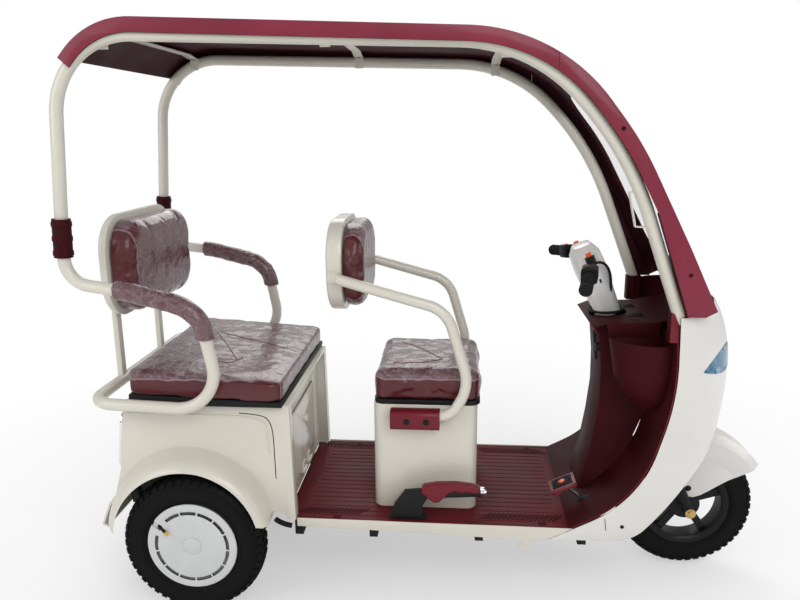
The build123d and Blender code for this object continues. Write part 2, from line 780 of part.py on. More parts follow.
strip_rise = 9
strip_half_width = 205
strip_back, strip_front = -760, 110
with BuildPart() as roof_panel:
    with BuildSketch(Plane.XZ.offset(-strip_half_width)):
        with BuildLine():
            strip_line = FilletPolyline(*roof_path, radius=roof_bends)
            offset(strip_line, amount=strip_rise, side=Side.LEFT)
        make_face()
    extrude(amount=2 * strip_half_width)
    with BuildSketch(Plane.XY.offset(1200)):
        with Locations(((strip_back + strip_front) / 2, 0)):
            RectangleRounded(strip_front - strip_back, 2 * strip_half_width, 50)
    extrude(amount=2 * full_half_width, mode=Mode.INTERSECT)
    add(roof_block)
    add(roof_hollow, mode=Mode.SUBTRACT)
    with BuildSketch(Plane.XY.offset(700)):
        with Locations((roof_seam_x + 500, 0)):
            Rectangle(1000, 1000)
    extrude(amount=1200, mode=Mode.SUBTRACT)

window_corner = 60
window_half_width, window_height, window_z = 235, 480, 1270
glass_margin = 37
with BuildPart() as windscreen_surround:
    add(roof_block)
    add(roof_hollow, mode=Mode.SUBTRACT)
    with BuildSketch(Plane.XY.offset(700)):
        with Locations((roof_seam_x + trim_gap - 1000, 0)):
            Rectangle(2000, 1000)
    extrude(amount=1200, mode=Mode.SUBTRACT)
    with BuildSketch(Plane.YZ.offset(300)):
        with Locations((0, window_z)):
            RectangleRounded(2 * window_half_width, window_height, window_corner)
    extrude(amount=600, mode=Mode.SUBTRACT)

glass_thick = 4
with BuildPart() as windscreen:
    with BuildSketch(Plane.XZ.offset(-window_half_width - glass_margin - 3)):
        with BuildLine():
            outer = FilletPolyline(*[(x + trim_gap, z + trim_gap) for x, z in roof_path], radius=roof_bends)
            offset(outer, amount=glass_thick, side=Side.LEFT)
        make_face()
    extrude(amount=2 * (window_half_width + glass_margin + 3))
    with BuildSketch(Plane.YZ.offset(300)):
        with Locations((0, window_z)):
            RectangleRounded(2 * (window_half_width + glass_margin), window_height + 2 * glass_margin + 2, window_corner + 20)
    extrude(amount=600, mode=Mode.INTERSECT)

# Roof cross straps with turned-down ends on the tubes
strap_width = 30
strap_thick = 4
strap_foot, strap_slope = 40, 50
strap_table = [
    # x, height of the tube's centre there, half span, rise to the roof
    (-850, 1640, tube_half_span, 7),
    (-269, 1638, tube_half_span - 9, 13),
    (193, 1607, tube_half_span - 20, 9),
]
with BuildPart() as canopy_crossbars:
    for strap_x, tube_z, half_span, strap_rise in strap_table:
        low = tube_z + tube_radius - 2
        high = low + strap_rise
        with BuildSketch(Plane.YZ.offset(strap_x - strap_width / 2)):
            with BuildLine():
                foot, shoulder = half_span - strap_foot, half_span - strap_foot - strap_slope
                under = [(half_span, low), (foot, low), (shoulder, high)]
                above = [(y - (2 if y < half_span else 0), z + strap_thick) for y, z in under]
                half_outline = above + [(-y, z) for y, z in above[::-1]]
                Polyline(*half_outline, *[(-y, z) for y, z in under], *under[::-1], close=True)
            make_face()
        extrude(amount=strap_width)
    for route in (tube_route, mirrored(tube_route)):
        with BuildLine() as strap_seat:
            FilletPolyline(*route, radius=tube_bends)
        with BuildSketch(Plane(origin=strap_seat.line @ 0, z_dir=strap_seat.line % 0)):
            Circle(tube_radius + fit_gap)
        sweep(mode=Mode.SUBTRACT)
    add(roof_panel.part, mode=Mode.SUBTRACT)

# Route of the armrest and rail tube, and its backrest posts
rail_back_x = -977
rail_z = 651
post_x = -978
post_width = 27
post_y = 151
post_depth = 16
post_top = 1090
post_foot_z = rail_z + tube_radius - 4

rail_route = [
    (-1010.2, -tube_half_span, tube_joint_z - 3), (-1012, -tube_half_span - 2, 1004), (-827, -rail_half_span, 980),
    (-682, -rail_half_span, 943), (-632, -rail_half_span, 905), (-583, -rail_half_span, 637),
    (rail_back_x, -rail_half_span, rail_z),
]
rail_bends = [75, 200, 110, 90, 110, 70]

# Collars that join the pillars to the armrest tube
collar_radius = 25
collar_low, collar_high = 1075, 1181
ring_height, ring_rise = 12, 2
ring_starts = (6, 46, 86)
with BuildPart() as canopy_collars:
    for side in (-1, 1):
        collar_plane = Plane(origin=(-1011.4, side * (tube_half_span + 0.4), collar_low), z_dir=(4.6, 0, 106))
        with BuildSketch(collar_plane):
            Circle(collar_radius)
        extrude(amount=collar_high - collar_low)
        for ring_start in ring_starts:
            with BuildSketch(collar_plane.offset(ring_start)):
                Circle(collar_radius + ring_rise)
            extrude(amount=ring_height)
    for route, bore_gap in (
        (tube_route, fit_gap), (mirrored(tube_route), fit_gap),
        (rail_route, 2 * fit_gap), (mirrored(rail_route), 2 * fit_gap),
    ):
        with BuildLine() as collar_bore:
            Line(route[0], route[1])
        with BuildSketch(Plane(origin=collar_bore.line @ 0, z_dir=collar_bore.line % 0).offset(-2)):
            Circle(tube_radius + bore_gap)
        extrude(amount=90, mode=Mode.SUBTRACT)

# One long tube: armrests on both sides and the rail round the back of the bench
with BuildPart() as rear_rail_tube:
    with BuildLine() as rail:
        FilletPolyline(
            *rail_route, *mirrored(rail_route)[::-1],
            radius=rail_bends + rail_bends[::-1],
        )
    with BuildSketch(Plane(origin=rail.line @ 0, z_dir=rail.line % 0)):
        Circle(tube_radius)
    sweep()
    for side in (-1, 1):
        with BuildSketch(Plane.XY.offset(post_foot_z)):
            with Locations((post_x, side * post_y)):
                Rectangle(post_depth, post_width)
        extrude(amount=post_top - post_foot_z)

# Padded sleeves on the armrests
pad_radius = 27
pad_back = -868
pad_low = 850
with BuildPart() as armrest_pads:
    for route in (rail_route, mirrored(rail_route)):
        for radius, mode in ((pad_radius, Mode.ADD), (tube_radius + fit_gap, Mode.SUBTRACT)):
            with BuildLine() as pad_line:
                FilletPolyline(*route, radius=rail_bends[:len(route) - 2])
            with BuildSketch(Plane(origin=pad_line.line @ 0, z_dir=pad_line.line % 0)):
                Circle(radius)
            sweep(mode=mode)
    with BuildSketch(Plane.XZ.offset(-500)):
        with BuildLine():
            Polyline((pad_back, pad_low), (pad_back, 1040), (-560, 1040), (-560, pad_low), close=True)
        make_face()
    extrude(amount=1000, mode=Mode.INTERSECT)

# Rear backrest: moulded shell on its posts, and its cushion
backrest_low, backrest_high = 862, 1172
backrest_half_width = 250
backrest_corner = 112
shell_lip = 7
shell_back, shell_depth = -970, 26
shell_round, cushion_round = 14, 34
back_cushion_depth = 72
with BuildPart() as rear_backrest_shell:
    with BuildSketch(Plane.YZ.offset(shell_back)):
        with Locations((0, (backrest_low + backrest_high) / 2)):
            RectangleRounded(2 * backrest_half_width, backrest_high - backrest_low, backrest_corner)
    extrude(amount=shell_depth)
    fillet(rear_backrest_shell.faces().sort_by(Axis.X)[0].edges(), shell_round)

with BuildPart() as rear_backrest_cushion:
    with BuildSketch(Plane.YZ.offset(shell_back + shell_depth + trim_gap)):
        with Locations((0, (backrest_low + backrest_high) / 2)):
            RectangleRounded(
                2 * (backrest_half_width - shell_lip), backrest_high - backrest_low - 2 * shell_lip,
                backrest_corner - shell_lip,
            )
    extrude(amount=back_cushion_depth)
    fillet(rear_backrest_cushion.faces().sort_by(Axis.X)[-1].edges(), cushion_round)

# Bench cushion on its board, both higher at the back
board_back, board_front = bench_back + 12, bench_front - 6
board_low = rear_body_top + 0.3
bench_corner = 40
with BuildPart() as bench_board:
    with BuildSketch(Plane.XZ.offset(-bench_half_width + 10)):
        with BuildLine():
            board_top = [(board_front, 646.5), (board_back, 664)]
            Polyline((board_back, board_low), (board_front, board_low), *board_top, close=True)
        make_face()
    extrude(amount=2 * (bench_half_width - 10))

with BuildPart() as bench_cushion:
    with BuildSketch(Plane.XZ.offset(-bench_half_width + 2)):
        with BuildLine():
            Polyline((bench_back, 665.5), (bench_front, 647), (bench_front, 702), (bench_back, 733), close=True)
        make_face()
    extrude(amount=2 * (bench_half_width - 2))
    fillet(bench_cushion.edges().filter_by(Axis.Z, tolerance=10), bench_corner)

# Rear body: back and side panels with flared wheel arches that reach over the tyres
wall_top_x, wall_foot_x = -412, -405
inner_foot_z = 240
side_profile = [
    (wall_foot_x, 266), (wall_top_x, rear_body_top), (-908, rear_body_top), (-930, 500), (-936, 420), (-962, 330),
    (-985, 300), (-960, 266),
]
inner_profile = [
    (wall_foot_x - skin, inner_foot_z), (wall_top_x - skin, rear_body_top + 1), (-904, rear_body_top + 1), (-926, 500),
    (-932, 420), (-958, 330), (-986, 290), (-986, inner_foot_z),
]
front_wall_x = -440
door_half_width = 170
door_low, door_high = 305, 548
hinge_x, hinge_z = -430, 304
pin_radius, knuckle_radius = 3, 6
pin_starts = (-64, 16)
pin_length = 48
lug_thick = 4
flare_table = [
    # half width, centre x, centre z, outer radius
    (rear_half_width - 3, -722, 240, 256),
    (rear_half_width + 45, -716, 232, 254),
    (rear_half_width + 78, -710, 225, 246),
    (rear_half_width + 91, -707, 222, 235),
]
flange_x, flange_z, flange_radius = -716, 234, 221
flange_thick = 3
compartment_half_width = 262
compartment_top = 620


def flare_solid(side, inset):
    """The flare's rounded outline, lofted outwards through circles."""
    with BuildPart() as flare:
        for half_width, centre_x, centre_z, radius in flare_table:
            with BuildSketch(Plane(origin=(centre_x, side * half_width, centre_z), x_dir=(1, 0, 0), z_dir=(0, -1, 0))):
                Circle(radius - inset)
        loft()
    return flare.part


with BuildPart() as rear_body:
    with BuildSketch(Plane.XZ.offset(-rear_half_width)):
        with BuildLine():
            Polyline(*side_profile, close=True)
        make_face()
    extrude(amount=2 * rear_half_width)
    with BuildSketch(Plane.XZ.offset(-rear_half_width + skin)):
        with BuildLine():
            Polyline(*inner_profile, close=True)
        make_face()
    extrude(amount=2 * (rear_half_width - skin), mode=Mode.SUBTRACT)
    with BuildSketch(Plane.XZ.offset(-full_half_width)):
        with Locations((flare_table[0][1], flare_table[0][2])):
            Circle(flare_table[0][3] - skin)
    extrude(amount=2 * full_half_width, mode=Mode.SUBTRACT)
    for side in (-1, 1):
        add(flare_solid(side, 0) - flare_solid(side, skin))
        with BuildSketch(Plane.XZ.offset(-side * flare_table[-1][0] - (flange_thick if side < 0 else 0))):
            with Locations((flare_table[-1][1], flare_table[-1][2])):
                Circle(flare_table[-1][3])
            with Locations((flange_x, flange_z)):
                Circle(flange_radius, mode=Mode.SUBTRACT)
        extrude(amount=flange_thick)
    with BuildSketch(Plane.XZ.offset(-full_half_width)):
        with BuildLine():
            Polyline(
                (-300, 266), (-425, 266), (-435, 288), (-530, 288), (-600, 250), (-920, 240), (-985, 300),
                (-1100, 300), (-1100, -200), (-300, -200), close=True,
            )
        make_face()
    extrude(amount=2 * full_half_width, mode=Mode.SUBTRACT)
    with BuildSketch(Plane.YZ.offset(front_wall_x)):
        with Locations((0, (compartment_top + inner_foot_z) / 2)):
            Rectangle(2 * compartment_half_width, compartment_top - inner_foot_z)
    extrude(amount=60, mode=Mode.SUBTRACT)

# Deck under the bench, with the storage space's mouth
mouth_x, mouth_length, mouth_half_width = -672, 400, 235
with BuildPart() as bench_deck:
    with BuildSketch(Plane.XY.offset(rear_body_top - skin)):
        with Locations(((wall_top_x - skin - 904) / 2, 0)):
            Rectangle(904 + wall_top_x - skin, 2 * (rear_half_width - skin))
        with Locations((mouth_x, 0)):
            RectangleRounded(mouth_length, 2 * mouth_half_width, 30, mode=Mode.SUBTRACT)
    extrude(amount=skin)

# Recessed storage front with the door's opening, its returns and the hinge pins
return_profile = [
    (front_wall_x - skin, 262), (wall_foot_x - skin - 0.4, 262), (wall_top_x - skin, rear_body_top - skin),
    (front_wall_x - skin, rear_body_top - skin),
]
with BuildPart() as storage_front:
    with BuildSketch(Plane.YZ.offset(front_wall_x - skin)):
        with Locations((0, (262 + rear_body_top - skin) / 2)):
            Rectangle(2 * (compartment_half_width + skin), rear_body_top - skin - 262)
        with Locations((0, (door_low + door_high) / 2)):
            RectangleRounded(2 * door_half_width, door_high - door_low, 18, mode=Mode.SUBTRACT)
    extrude(amount=skin)
    for return_start in (-compartment_half_width - skin, compartment_half_width):
        with BuildSketch(Plane.XZ.offset(-return_start - skin)):
            with BuildLine():
                Polyline(*return_profile, close=True)
            make_face()
        extrude(amount=skin)
    for pin_start in pin_starts:
        with BuildSketch(Plane(origin=(hinge_x, pin_start, hinge_z), x_dir=(1, 0, 0), z_dir=(0, 1, 0))):
            Circle(pin_radius)
        extrude(amount=pin_length)
        for lug_start in (pin_start, pin_start + pin_length - lug_thick):
            with BuildSketch(Plane(origin=(hinge_x, lug_start, hinge_z), x_dir=(1, 0, 0), z_dir=(0, 1, 0))):
                Circle(knuckle_radius)
                with Locations(((front_wall_x - hinge_x) / 2, 0)):
                    Rectangle(hinge_x - front_wall_x, 2 * knuckle_radius)
            extrude(amount=lug_thick)

# Storage tub under the bench, on the frame's raised rails
tub_half_width = 262
tub_floor = 330
tub_wall = 3
tub_length = 446
tub_front_x = mouth_x + tub_length / 2
tub_door_low = tub_floor + 5
with BuildPart() as rear_tub:
    for inset, start_z, mode in ((0, tub_floor, Mode.ADD), (tub_wall, tub_floor + tub_wall, Mode.SUBTRACT)):
        with BuildSketch(Plane.XY.offset(start_z)):
            with Locations((mouth_x, 0)):
                Rectangle(tub_length - 2 * inset, 2 * (tub_half_width - inset))
        extrude(amount=rear_body_top - skin - start_z, mode=mode)
    with BuildSketch(Plane.YZ.offset(tub_front_x - 6)):
        with Locations((0, (tub_door_low + door_high) / 2)):
            Rectangle(2 * (door_half_width - 4), door_high - tub_door_low)
    extrude(amount=20, mode=Mode.SUBTRACT)

# Storage door, hinged along its lower edge, with its latch knob
door_gap = 5
door_depth, door_back = 8, 2
knob_z, knob_radius, knob_depth = 470, 14, 10
strap_end_z = hinge_z + 26
with BuildPart() as storage_door:
    with BuildSketch(Plane.YZ.offset(front_wall_x - door_back)):
        with Locations((0, (door_low + door_high) / 2)):
            RectangleRounded(2 * (door_half_width - door_gap), door_high - door_low - 2 * door_gap, 15)
    extrude(amount=door_depth)
    with BuildSketch(Plane.YZ.offset(front_wall_x - door_back + door_depth)):
        with Locations((0, knob_z)):
            Circle(knob_radius)
    extrude(amount=knob_depth)
    for pin_start in pin_starts:
        knuckle_start = pin_start + lug_thick + 1
        knuckle_length = pin_length - 2 * lug_thick - 2
        knuckle_plane = Plane(origin=(hinge_x, knuckle_start, hinge_z), x_dir=(1, 0, 0), z_dir=(0, 1, 0))
        with BuildSketch(knuckle_plane):
            Circle(knuckle_radius)
        extrude(amount=knuckle_length)
        with BuildSketch(Plane.YZ.offset(front_wall_x - door_back + door_depth)):
            with Locations((knuckle_start + knuckle_length / 2, (hinge_z + strap_end_z) / 2)):
                Rectangle(knuckle_length, strap_end_z - hinge_z)
        extrude(amount=lug_thick)
        with BuildSketch(knuckle_plane.offset(-1)):
            Circle(pin_radius + run_gap)
        extrude(amount=pin_length, mode=Mode.SUBTRACT)

# Tail panel that flares out below the body, and the tail lamps
tail_panel_path = [(-986, 299), (-1016, 226), (-998, 218)]
with BuildPart() as rear_bumper:
    with BuildSketch(Plane.XZ.offset(-rear_half_width)):
        with BuildLine():
            lip = Polyline(*tail_panel_path)
            offset(lip, amount=skin + 2, side=Side.LEFT)
        make_face()
    extrude(amount=2 * rear_half_width)
    add(rear_body.part, mode=Mode.SUBTRACT)

tail_lamp_x, tail_lamp_y, tail_lamp_z = -927.5, 254, 500
tail_lamp_lean = (-132, 0, 16)
tail_lamp_width, tail_lamp_height = 58, 172
tail_rim_width = 8
tail_rim_depth = 12
with BuildPart() as tail_lamps:
    for side in (-1, 1):
        tail_plane = Plane(
            origin=(tail_lamp_x, side * tail_lamp_y, tail_lamp_z), x_dir=(0, 1, 0), z_dir=tail_lamp_lean,
        )
        with BuildSketch(tail_plane):
            SlotOverall(tail_lamp_height, tail_lamp_width, rotation=90)
        extrude(amount=tail_rim_depth + 3)
    fillet(tail_lamps.edges().filter_by(GeomType.CIRCLE).group_by(Axis.X)[0], 2)
    add(rear_body.part, mode=Mode.SUBTRACT)

with BuildPart() as tail_lamp_rims:
    for side in (-1, 1):
        rim_plane = Plane(
            origin=(tail_lamp_x, side * tail_lamp_y, tail_lamp_z), x_dir=(0, 1, 0), z_dir=tail_lamp_lean,
        )
        with BuildSketch(rim_plane):
            SlotOverall(tail_lamp_height + 2 * tail_rim_width, tail_lamp_width + 2 * tail_rim_width, rotation=90)
            SlotOverall(
                tail_lamp_height + 2 * fit_gap, tail_lamp_width + 2 * fit_gap, rotation=90, mode=Mode.SUBTRACT,
            )
        extrude(amount=tail_rim_depth)
    add(rear_body.part, mode=Mode.SUBTRACT)

# Driver's seat box, open at its top under the lid, with the battery inside
box_length = seat_box_front - seat_box_back
box_centre_x = (seat_box_front + seat_box_back) / 2
box_base_z = floor_top + trim_gap
box_corner = 32
battery_length, battery_width, battery_height = 262, 330, 178
with BuildPart() as driver_seat_box:
    with BuildSketch(Plane.XY.offset(box_base_z)):
        with Locations((box_centre_x, 0)):
            RectangleRounded(box_length, 2 * seat_box_half_width, box_corner)
            RectangleRounded(
                box_length - 2 * skin, 2 * (seat_box_half_width - skin), box_corner - skin, mode=Mode.SUBTRACT,
            )
    extrude(amount=seat_box_top - box_base_z)

with BuildPart() as battery_pack:
    with BuildSketch(Plane.XY.offset(box_base_z)):
        with Locations((box_centre_x, 0)):
            Rectangle(battery_length, battery_width)
    extrude(amount=battery_height)

# Arm tubes of the driver's seat, from their sockets up and back to the backrest
arm_radius = 16
arm_y = 219
arm_end_x, arm_end_z = -275, 993
arm_bends = [101, 130, 60]
arm_peg_radius = 14
socket_back, socket_front = -122, 26
socket_z, socket_width, socket_height, socket_corner = 566, 52, 60, 16
arm_route = [
    (arm_end_x, -arm_y, arm_end_z), (45, -arm_y, 903), (113, -arm_y, 673), (61, -arm_y, 581), (-39, -arm_y, 573),
]
with BuildPart() as driver_arm_tubes:
    for route in (arm_route, mirrored(arm_route)):
        with BuildLine() as arm:
            FilletPolyline(*route, radius=arm_bends)
        with BuildSketch(Plane(origin=arm.line @ 0, z_dir=arm.line % 0)):
            Circle(arm_radius)
        sweep()
    for side in (-1, 1):
        peg_start = (arm_end_x, side * (arm_y - arm_radius), arm_end_z)
        with BuildSketch(Plane(origin=peg_start, x_dir=(1, 0, 0), z_dir=(0, side, 0))):
            Circle(arm_peg_radius)
        extrude(amount=arm_radius)

with BuildPart() as arm_sockets:
    for side in (-1, 1):
        with BuildSketch(Plane.YZ.offset(socket_back)):
            with Locations((side * (seat_box_half_width + trim_gap + socket_width / 2), socket_z)):
                RectangleRounded(socket_width, socket_height, socket_corner)
        extrude(amount=socket_front - socket_back)
    for route in (arm_route, mirrored(arm_route)):
        with BuildLine() as bore_line:
            FilletPolyline(*route, radius=arm_bends)
        with BuildSketch(Plane(origin=bore_line.line @ 0, z_dir=bore_line.line % 0)):
            Circle(arm_radius + fit_gap)
        sweep(mode=Mode.SUBTRACT)
        with BuildSketch(Plane(origin=bore_line.line @ 1, z_dir=bore_line.line % 1)):
            Circle(arm_radius + fit_gap)
        extrude(amount=trim_gap, mode=Mode.SUBTRACT)

# Driver's backrest: an oval shell on the arm tubes, and its cushion
seat_back_low, seat_back_high = 872, 1150
seat_back_half_width, seat_back_corner = 190, 118
seat_back_x, seat_back_depth = -312, 46
seat_cushion_depth = 58
seat_lip = 6
lug_start_y = 186
with BuildPart() as driver_backrest_shell:
    with BuildSketch(Plane.YZ.offset(seat_back_x)):
        with Locations((0, (seat_back_low + seat_back_high) / 2)):
            RectangleRounded(2 * seat_back_half_width, seat_back_high - seat_back_low, seat_back_corner)
    extrude(amount=seat_back_depth)
    fillet(driver_backrest_shell.faces().sort_by(Axis.X)[0].edges(), 12)
    for side in (-1, 1):
        lug_origin = (arm_end_x - 11, side * lug_start_y, arm_end_z)
        with BuildSketch(Plane(origin=lug_origin, x_dir=(1, 0, 0), z_dir=(0, side, 0))):
            RectangleRounded(36, 32, 8)
        extrude(amount=arm_y - arm_radius - lug_start_y)

with BuildPart() as driver_backrest_cushion:
    with BuildSketch(Plane.YZ.offset(seat_back_x + seat_back_depth + trim_gap)):
        with Locations((0, (seat_back_low + seat_back_high) / 2)):
            RectangleRounded(
                2 * (seat_back_half_width - seat_lip), seat_back_high - seat_back_low - 2 * seat_lip,
                seat_back_corner - seat_lip,
            )
    extrude(amount=seat_cushion_depth)
    fillet(driver_backrest_cushion.faces().sort_by(Axis.X)[-1].edges(), 30)

# Driver's seat cushion on its board, the lid of the box
lid_gap = 0.3
board_thick = 14
cushion_length, cushion_half_width, cushion_height = 330, 195, 88
cushion_centre_x = -14
with BuildPart() as driver_board:
    with BuildSketch(Plane.XY.offset(seat_box_top + lid_gap)):
        with Locations((box_centre_x + 5, 0)):
            RectangleRounded(box_length + 4, 2 * (seat_box_half_width - 2), box_corner - 2)
    extrude(amount=board_thick)

with BuildPart() as driver_cushion:
    with BuildSketch(Plane.XY.offset(seat_box_top + board_thick + 2 * lid_gap)):
        with Locations((cushion_centre_x, 0)):
            RectangleRounded(cushion_length, 2 * cushion_half_width, box_corner + 4)
    extrude(amount=cushion_height)
    fillet(driver_cushion.faces().sort_by(Axis.Z)[-1].edges(), 20)

# Parking brake beside the seat: foot plate, ratchet body, handle and its button
brake_y = -245
brake_plate_x, brake_plate_length, brake_plate_width, brake_plate_thick = -68, 112, 36, 5
ratchet_thick = 22
ratchet_profile = [(-118, 262), (-24, 262), (-24, 300), (-8, 330), (-30, 350), (-78, 345), (-110, 300)]
handle_start = (-24, brake_y, 334)
handle_direction = (200, 0, 16)
handle_radius, handle_length = 12, 176
button_start = (150, brake_y, 348)
button_radius, button_length = 6, 18
with BuildPart() as parking_brake:
    with BuildSketch(Plane.XY.offset(box_base_z)):
        with Locations((brake_plate_x, brake_y)):
            RectangleRounded(brake_plate_length, brake_plate_width, 6)
    extrude(amount=brake_plate_thick)
    with BuildSketch(Plane.XZ.offset(-brake_y - ratchet_thick / 2)):
        with BuildLine():
            Polyline(*ratchet_profile, close=True)
        make_face()
    extrude(amount=ratchet_thick)
    with BuildSketch(Plane(origin=handle_start, z_dir=handle_direction)):
        Circle(handle_radius)
    extrude(amount=handle_length, taper=-0.5)
    with BuildSketch(Plane(origin=button_start, z_dir=handle_direction)):
        Circle(button_radius)
    extrude(amount=button_length)

# Foot brake pedal, its arm rising from the sloping front of the floor
pedal_y = -152
pedal_x, pedal_z = 411, 330
pedal_tilt = 0.48
pedal_length, pedal_width, pedal_thick, pedal_corner = 82, 72, 12, 14
pedal_arm_radius = 6.5
ramp_face = [(325, 214.8), (606, 363.8)]
with BuildPart() as brake_pedal:
    with BuildLine() as pedal_arm:
        FilletPolyline((480, pedal_y, 262), (455, pedal_y, 303), (pedal_x, pedal_y, pedal_z + 3), radius=20)
    with BuildSketch(Plane(origin=pedal_arm.line @ 0, z_dir=pedal_arm.line % 0)):
        Circle(pedal_arm_radius)
    sweep()
    pad_origin = (pedal_x, pedal_y, pedal_z)
    with BuildSketch(Plane(origin=pad_origin, x_dir=(1, 0, pedal_tilt), z_dir=(-pedal_tilt, 0, 1))):
        RectangleRounded(pedal_length, pedal_width, pedal_corner)
    extrude(amount=pedal_thick)
    with BuildSketch(Plane.XZ.offset(-pedal_y - 30)):
        with BuildLine():
            Polyline(*ramp_face, (606, 100), (325, 100), close=True)
        make_face()
    extrude(amount=60, mode=Mode.SUBTRACT)

# Headlamps let into the nose: lens and reflector housing
housing_back = 738
housing_depth = 34
lens_proud = 1.5
housing_margin = 4
with BuildPart() as headlamp_lenses:
    add(nose_solid(-lens_proud))
    add(inner_nose, mode=Mode.SUBTRACT)
    add([lamp_shape(-1, 0), lamp_shape(1, 0)], mode=Mode.INTERSECT)

with BuildPart() as headlamp_housings:
    add(nose_solid(skin + trim_gap))
    add(nose_solid(housing_depth), mode=Mode.SUBTRACT)
    add([lamp_shape(-1, housing_margin), lamp_shape(1, housing_margin)], mode=Mode.INTERSECT)
    with BuildSketch(Plane.XY.offset(600)):
        with Locations((housing_back - 200, 0)):
            Rectangle(400, 700)
    extrude(amount=400, mode=Mode.SUBTRACT)

# Wiper bracket on the right front pillar
bracket_path = [(560, 1250), (520, 1248), (541, 1155), (600, 1152)]
bracket_y, bracket_width, bracket_thick = 276, 18, 3
with BuildPart() as wiper_bracket:
    with BuildSketch(Plane.XZ.offset(bracket_y)):
        with BuildLine():
            strap = Polyline(*bracket_path)
            offset(strap, amount=bracket_thick, side=Side.LEFT)
        make_face()
    extrude(amount=bracket_width)
    add(canopy_tubes.part, mode=Mode.SUBTRACT)

pieces = {
    **tyres,
    **rear_discs,
    "wheel_rim_front": wheel_rim_front,
    "fork": fork,
    "front_mudguard": front_mudguard,
    "handlebar": handlebar,
    "handlebar_controls": handlebar_controls,
    "headset_cover": headset_cover,
    "chassis_frame": chassis_frame,
    "head_tube": head_tube,
    "front_uprights": front_uprights,
    "rear_axle": rear_axle,
    "drive_motor": drive_motor,
    "leaf_springs": leaf_springs,
    "footboard": footboard,
    "side_sills": side_sills,
    "front_apron": front_apron,
    "leg_shield": leg_shield,
    "dash_panel": dash_panel,
    "glove_pockets": glove_pockets,
    "canopy_tubes": canopy_tubes,
    "roof_panel": roof_panel,
    "windscreen_surround": windscreen_surround,
    "windscreen": windscreen,
    "canopy_crossbars": canopy_crossbars,
    "canopy_collars": canopy_collars,
    "rear_rail_tube": rear_rail_tube,
    "armrest_pads": armrest_pads,
    "rear_backrest_shell": rear_backrest_shell,
    "rear_backrest_cushion": rear_backrest_cushion,
    "bench_board": bench_board,
    "bench_cushion": bench_cushion,
    "rear_body": rear_body,
    "bench_deck": bench_deck,
    "storage_front": storage_front,
    "rear_tub": rear_tub,
    "storage_door": storage_door,
    "rear_bumper": rear_bumper,
    "tail_lamps": tail_lamps,
    "tail_lamp_rims": tail_lamp_rims,
    "driver_seat_box": driver_seat_box,
    "battery_pack": battery_pack,
    "driver_arm_tubes": driver_arm_tubes,
    "arm_sockets": arm_sockets,
    "driver_backrest_shell": driver_backrest_shell,
    "driver_backrest_cushion": driver_backrest_cushion,
    "driver_board": driver_board,
    "driver_cushion": driver_cushion,
    "parking_brake": parking_brake,
    "brake_pedal": brake_pedal,
    "headlamp_lenses": headlamp_lenses,
    "headlamp_housings": headlamp_housings,
    "wiper_bracket": wiper_bracket,
}
os.makedirs("parts", exist_ok=True)
for label, piece in pieces.items():
    piece.part.label = label
    export_step(piece.part, f"parts/{label}.step")
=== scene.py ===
import bmesh
import bpy
import json
import math
from mathutils import Matrix, Vector
from mathutils.bvhtree import BVHTree

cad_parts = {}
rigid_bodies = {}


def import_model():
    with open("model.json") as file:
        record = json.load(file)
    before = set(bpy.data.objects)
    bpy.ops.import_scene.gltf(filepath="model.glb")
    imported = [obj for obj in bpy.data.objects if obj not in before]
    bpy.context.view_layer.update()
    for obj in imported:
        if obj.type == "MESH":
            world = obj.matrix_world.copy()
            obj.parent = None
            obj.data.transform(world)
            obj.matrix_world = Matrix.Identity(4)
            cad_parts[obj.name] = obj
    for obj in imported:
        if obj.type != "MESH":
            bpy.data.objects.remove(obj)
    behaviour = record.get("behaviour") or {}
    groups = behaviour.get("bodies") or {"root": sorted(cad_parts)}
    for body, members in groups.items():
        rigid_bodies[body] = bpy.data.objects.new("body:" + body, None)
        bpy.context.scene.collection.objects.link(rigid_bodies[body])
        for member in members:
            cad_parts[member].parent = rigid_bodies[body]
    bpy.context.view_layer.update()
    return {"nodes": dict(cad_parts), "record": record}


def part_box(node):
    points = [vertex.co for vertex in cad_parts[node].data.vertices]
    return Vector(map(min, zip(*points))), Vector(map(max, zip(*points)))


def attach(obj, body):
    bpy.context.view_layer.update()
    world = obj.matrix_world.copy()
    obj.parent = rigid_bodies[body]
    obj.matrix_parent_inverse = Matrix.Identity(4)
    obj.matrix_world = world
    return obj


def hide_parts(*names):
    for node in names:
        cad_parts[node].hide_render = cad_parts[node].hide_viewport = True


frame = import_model()
nodes = frame["nodes"]
scene = bpy.context.scene
deselect = bpy.ops.object.select_all
deselect(action="DESELECT")

# Camera, placed as the photograph was taken
camera_place = Vector((0.074, -2.224, 1.407))
camera_turn, camera_dip, camera_roll = (math.radians(degrees) for degrees in (4.69, 13.25, -0.42))
camera_sensor, camera_lens = 36, 32.23
looking = Vector((
    -math.sin(camera_turn) * math.cos(camera_dip),
    math.cos(camera_turn) * math.cos(camera_dip),
    -math.sin(camera_dip),
))
level_right = Vector((math.cos(camera_turn), math.sin(camera_turn), 0))
level_up = level_right.cross(looking)
right = level_right * math.cos(camera_roll) + level_up * math.sin(camera_roll)
up = level_up * math.cos(camera_roll) - level_right * math.sin(camera_roll)
camera_data = bpy.data.cameras.new("photo_camera")
camera_data.sensor_width = camera_sensor
camera_data.lens = camera_lens
camera = bpy.data.objects.new("photo_camera", camera_data)
camera.matrix_world = Matrix((
    (right.x, up.x, -looking.x, camera_place.x),
    (right.y, up.y, -looking.y, camera_place.y),
    (right.z, up.z, -looking.z, camera_place.z),
    (0, 0, 0, 1),
))
scene.collection.objects.link(camera)
scene.camera = camera
scene.view_settings.view_transform = "Standard"


# Materials
white = (1, 1, 1, 1)
# Where most of a noise pattern's values lie
cloud_low, cloud_high = 0.3, 0.7


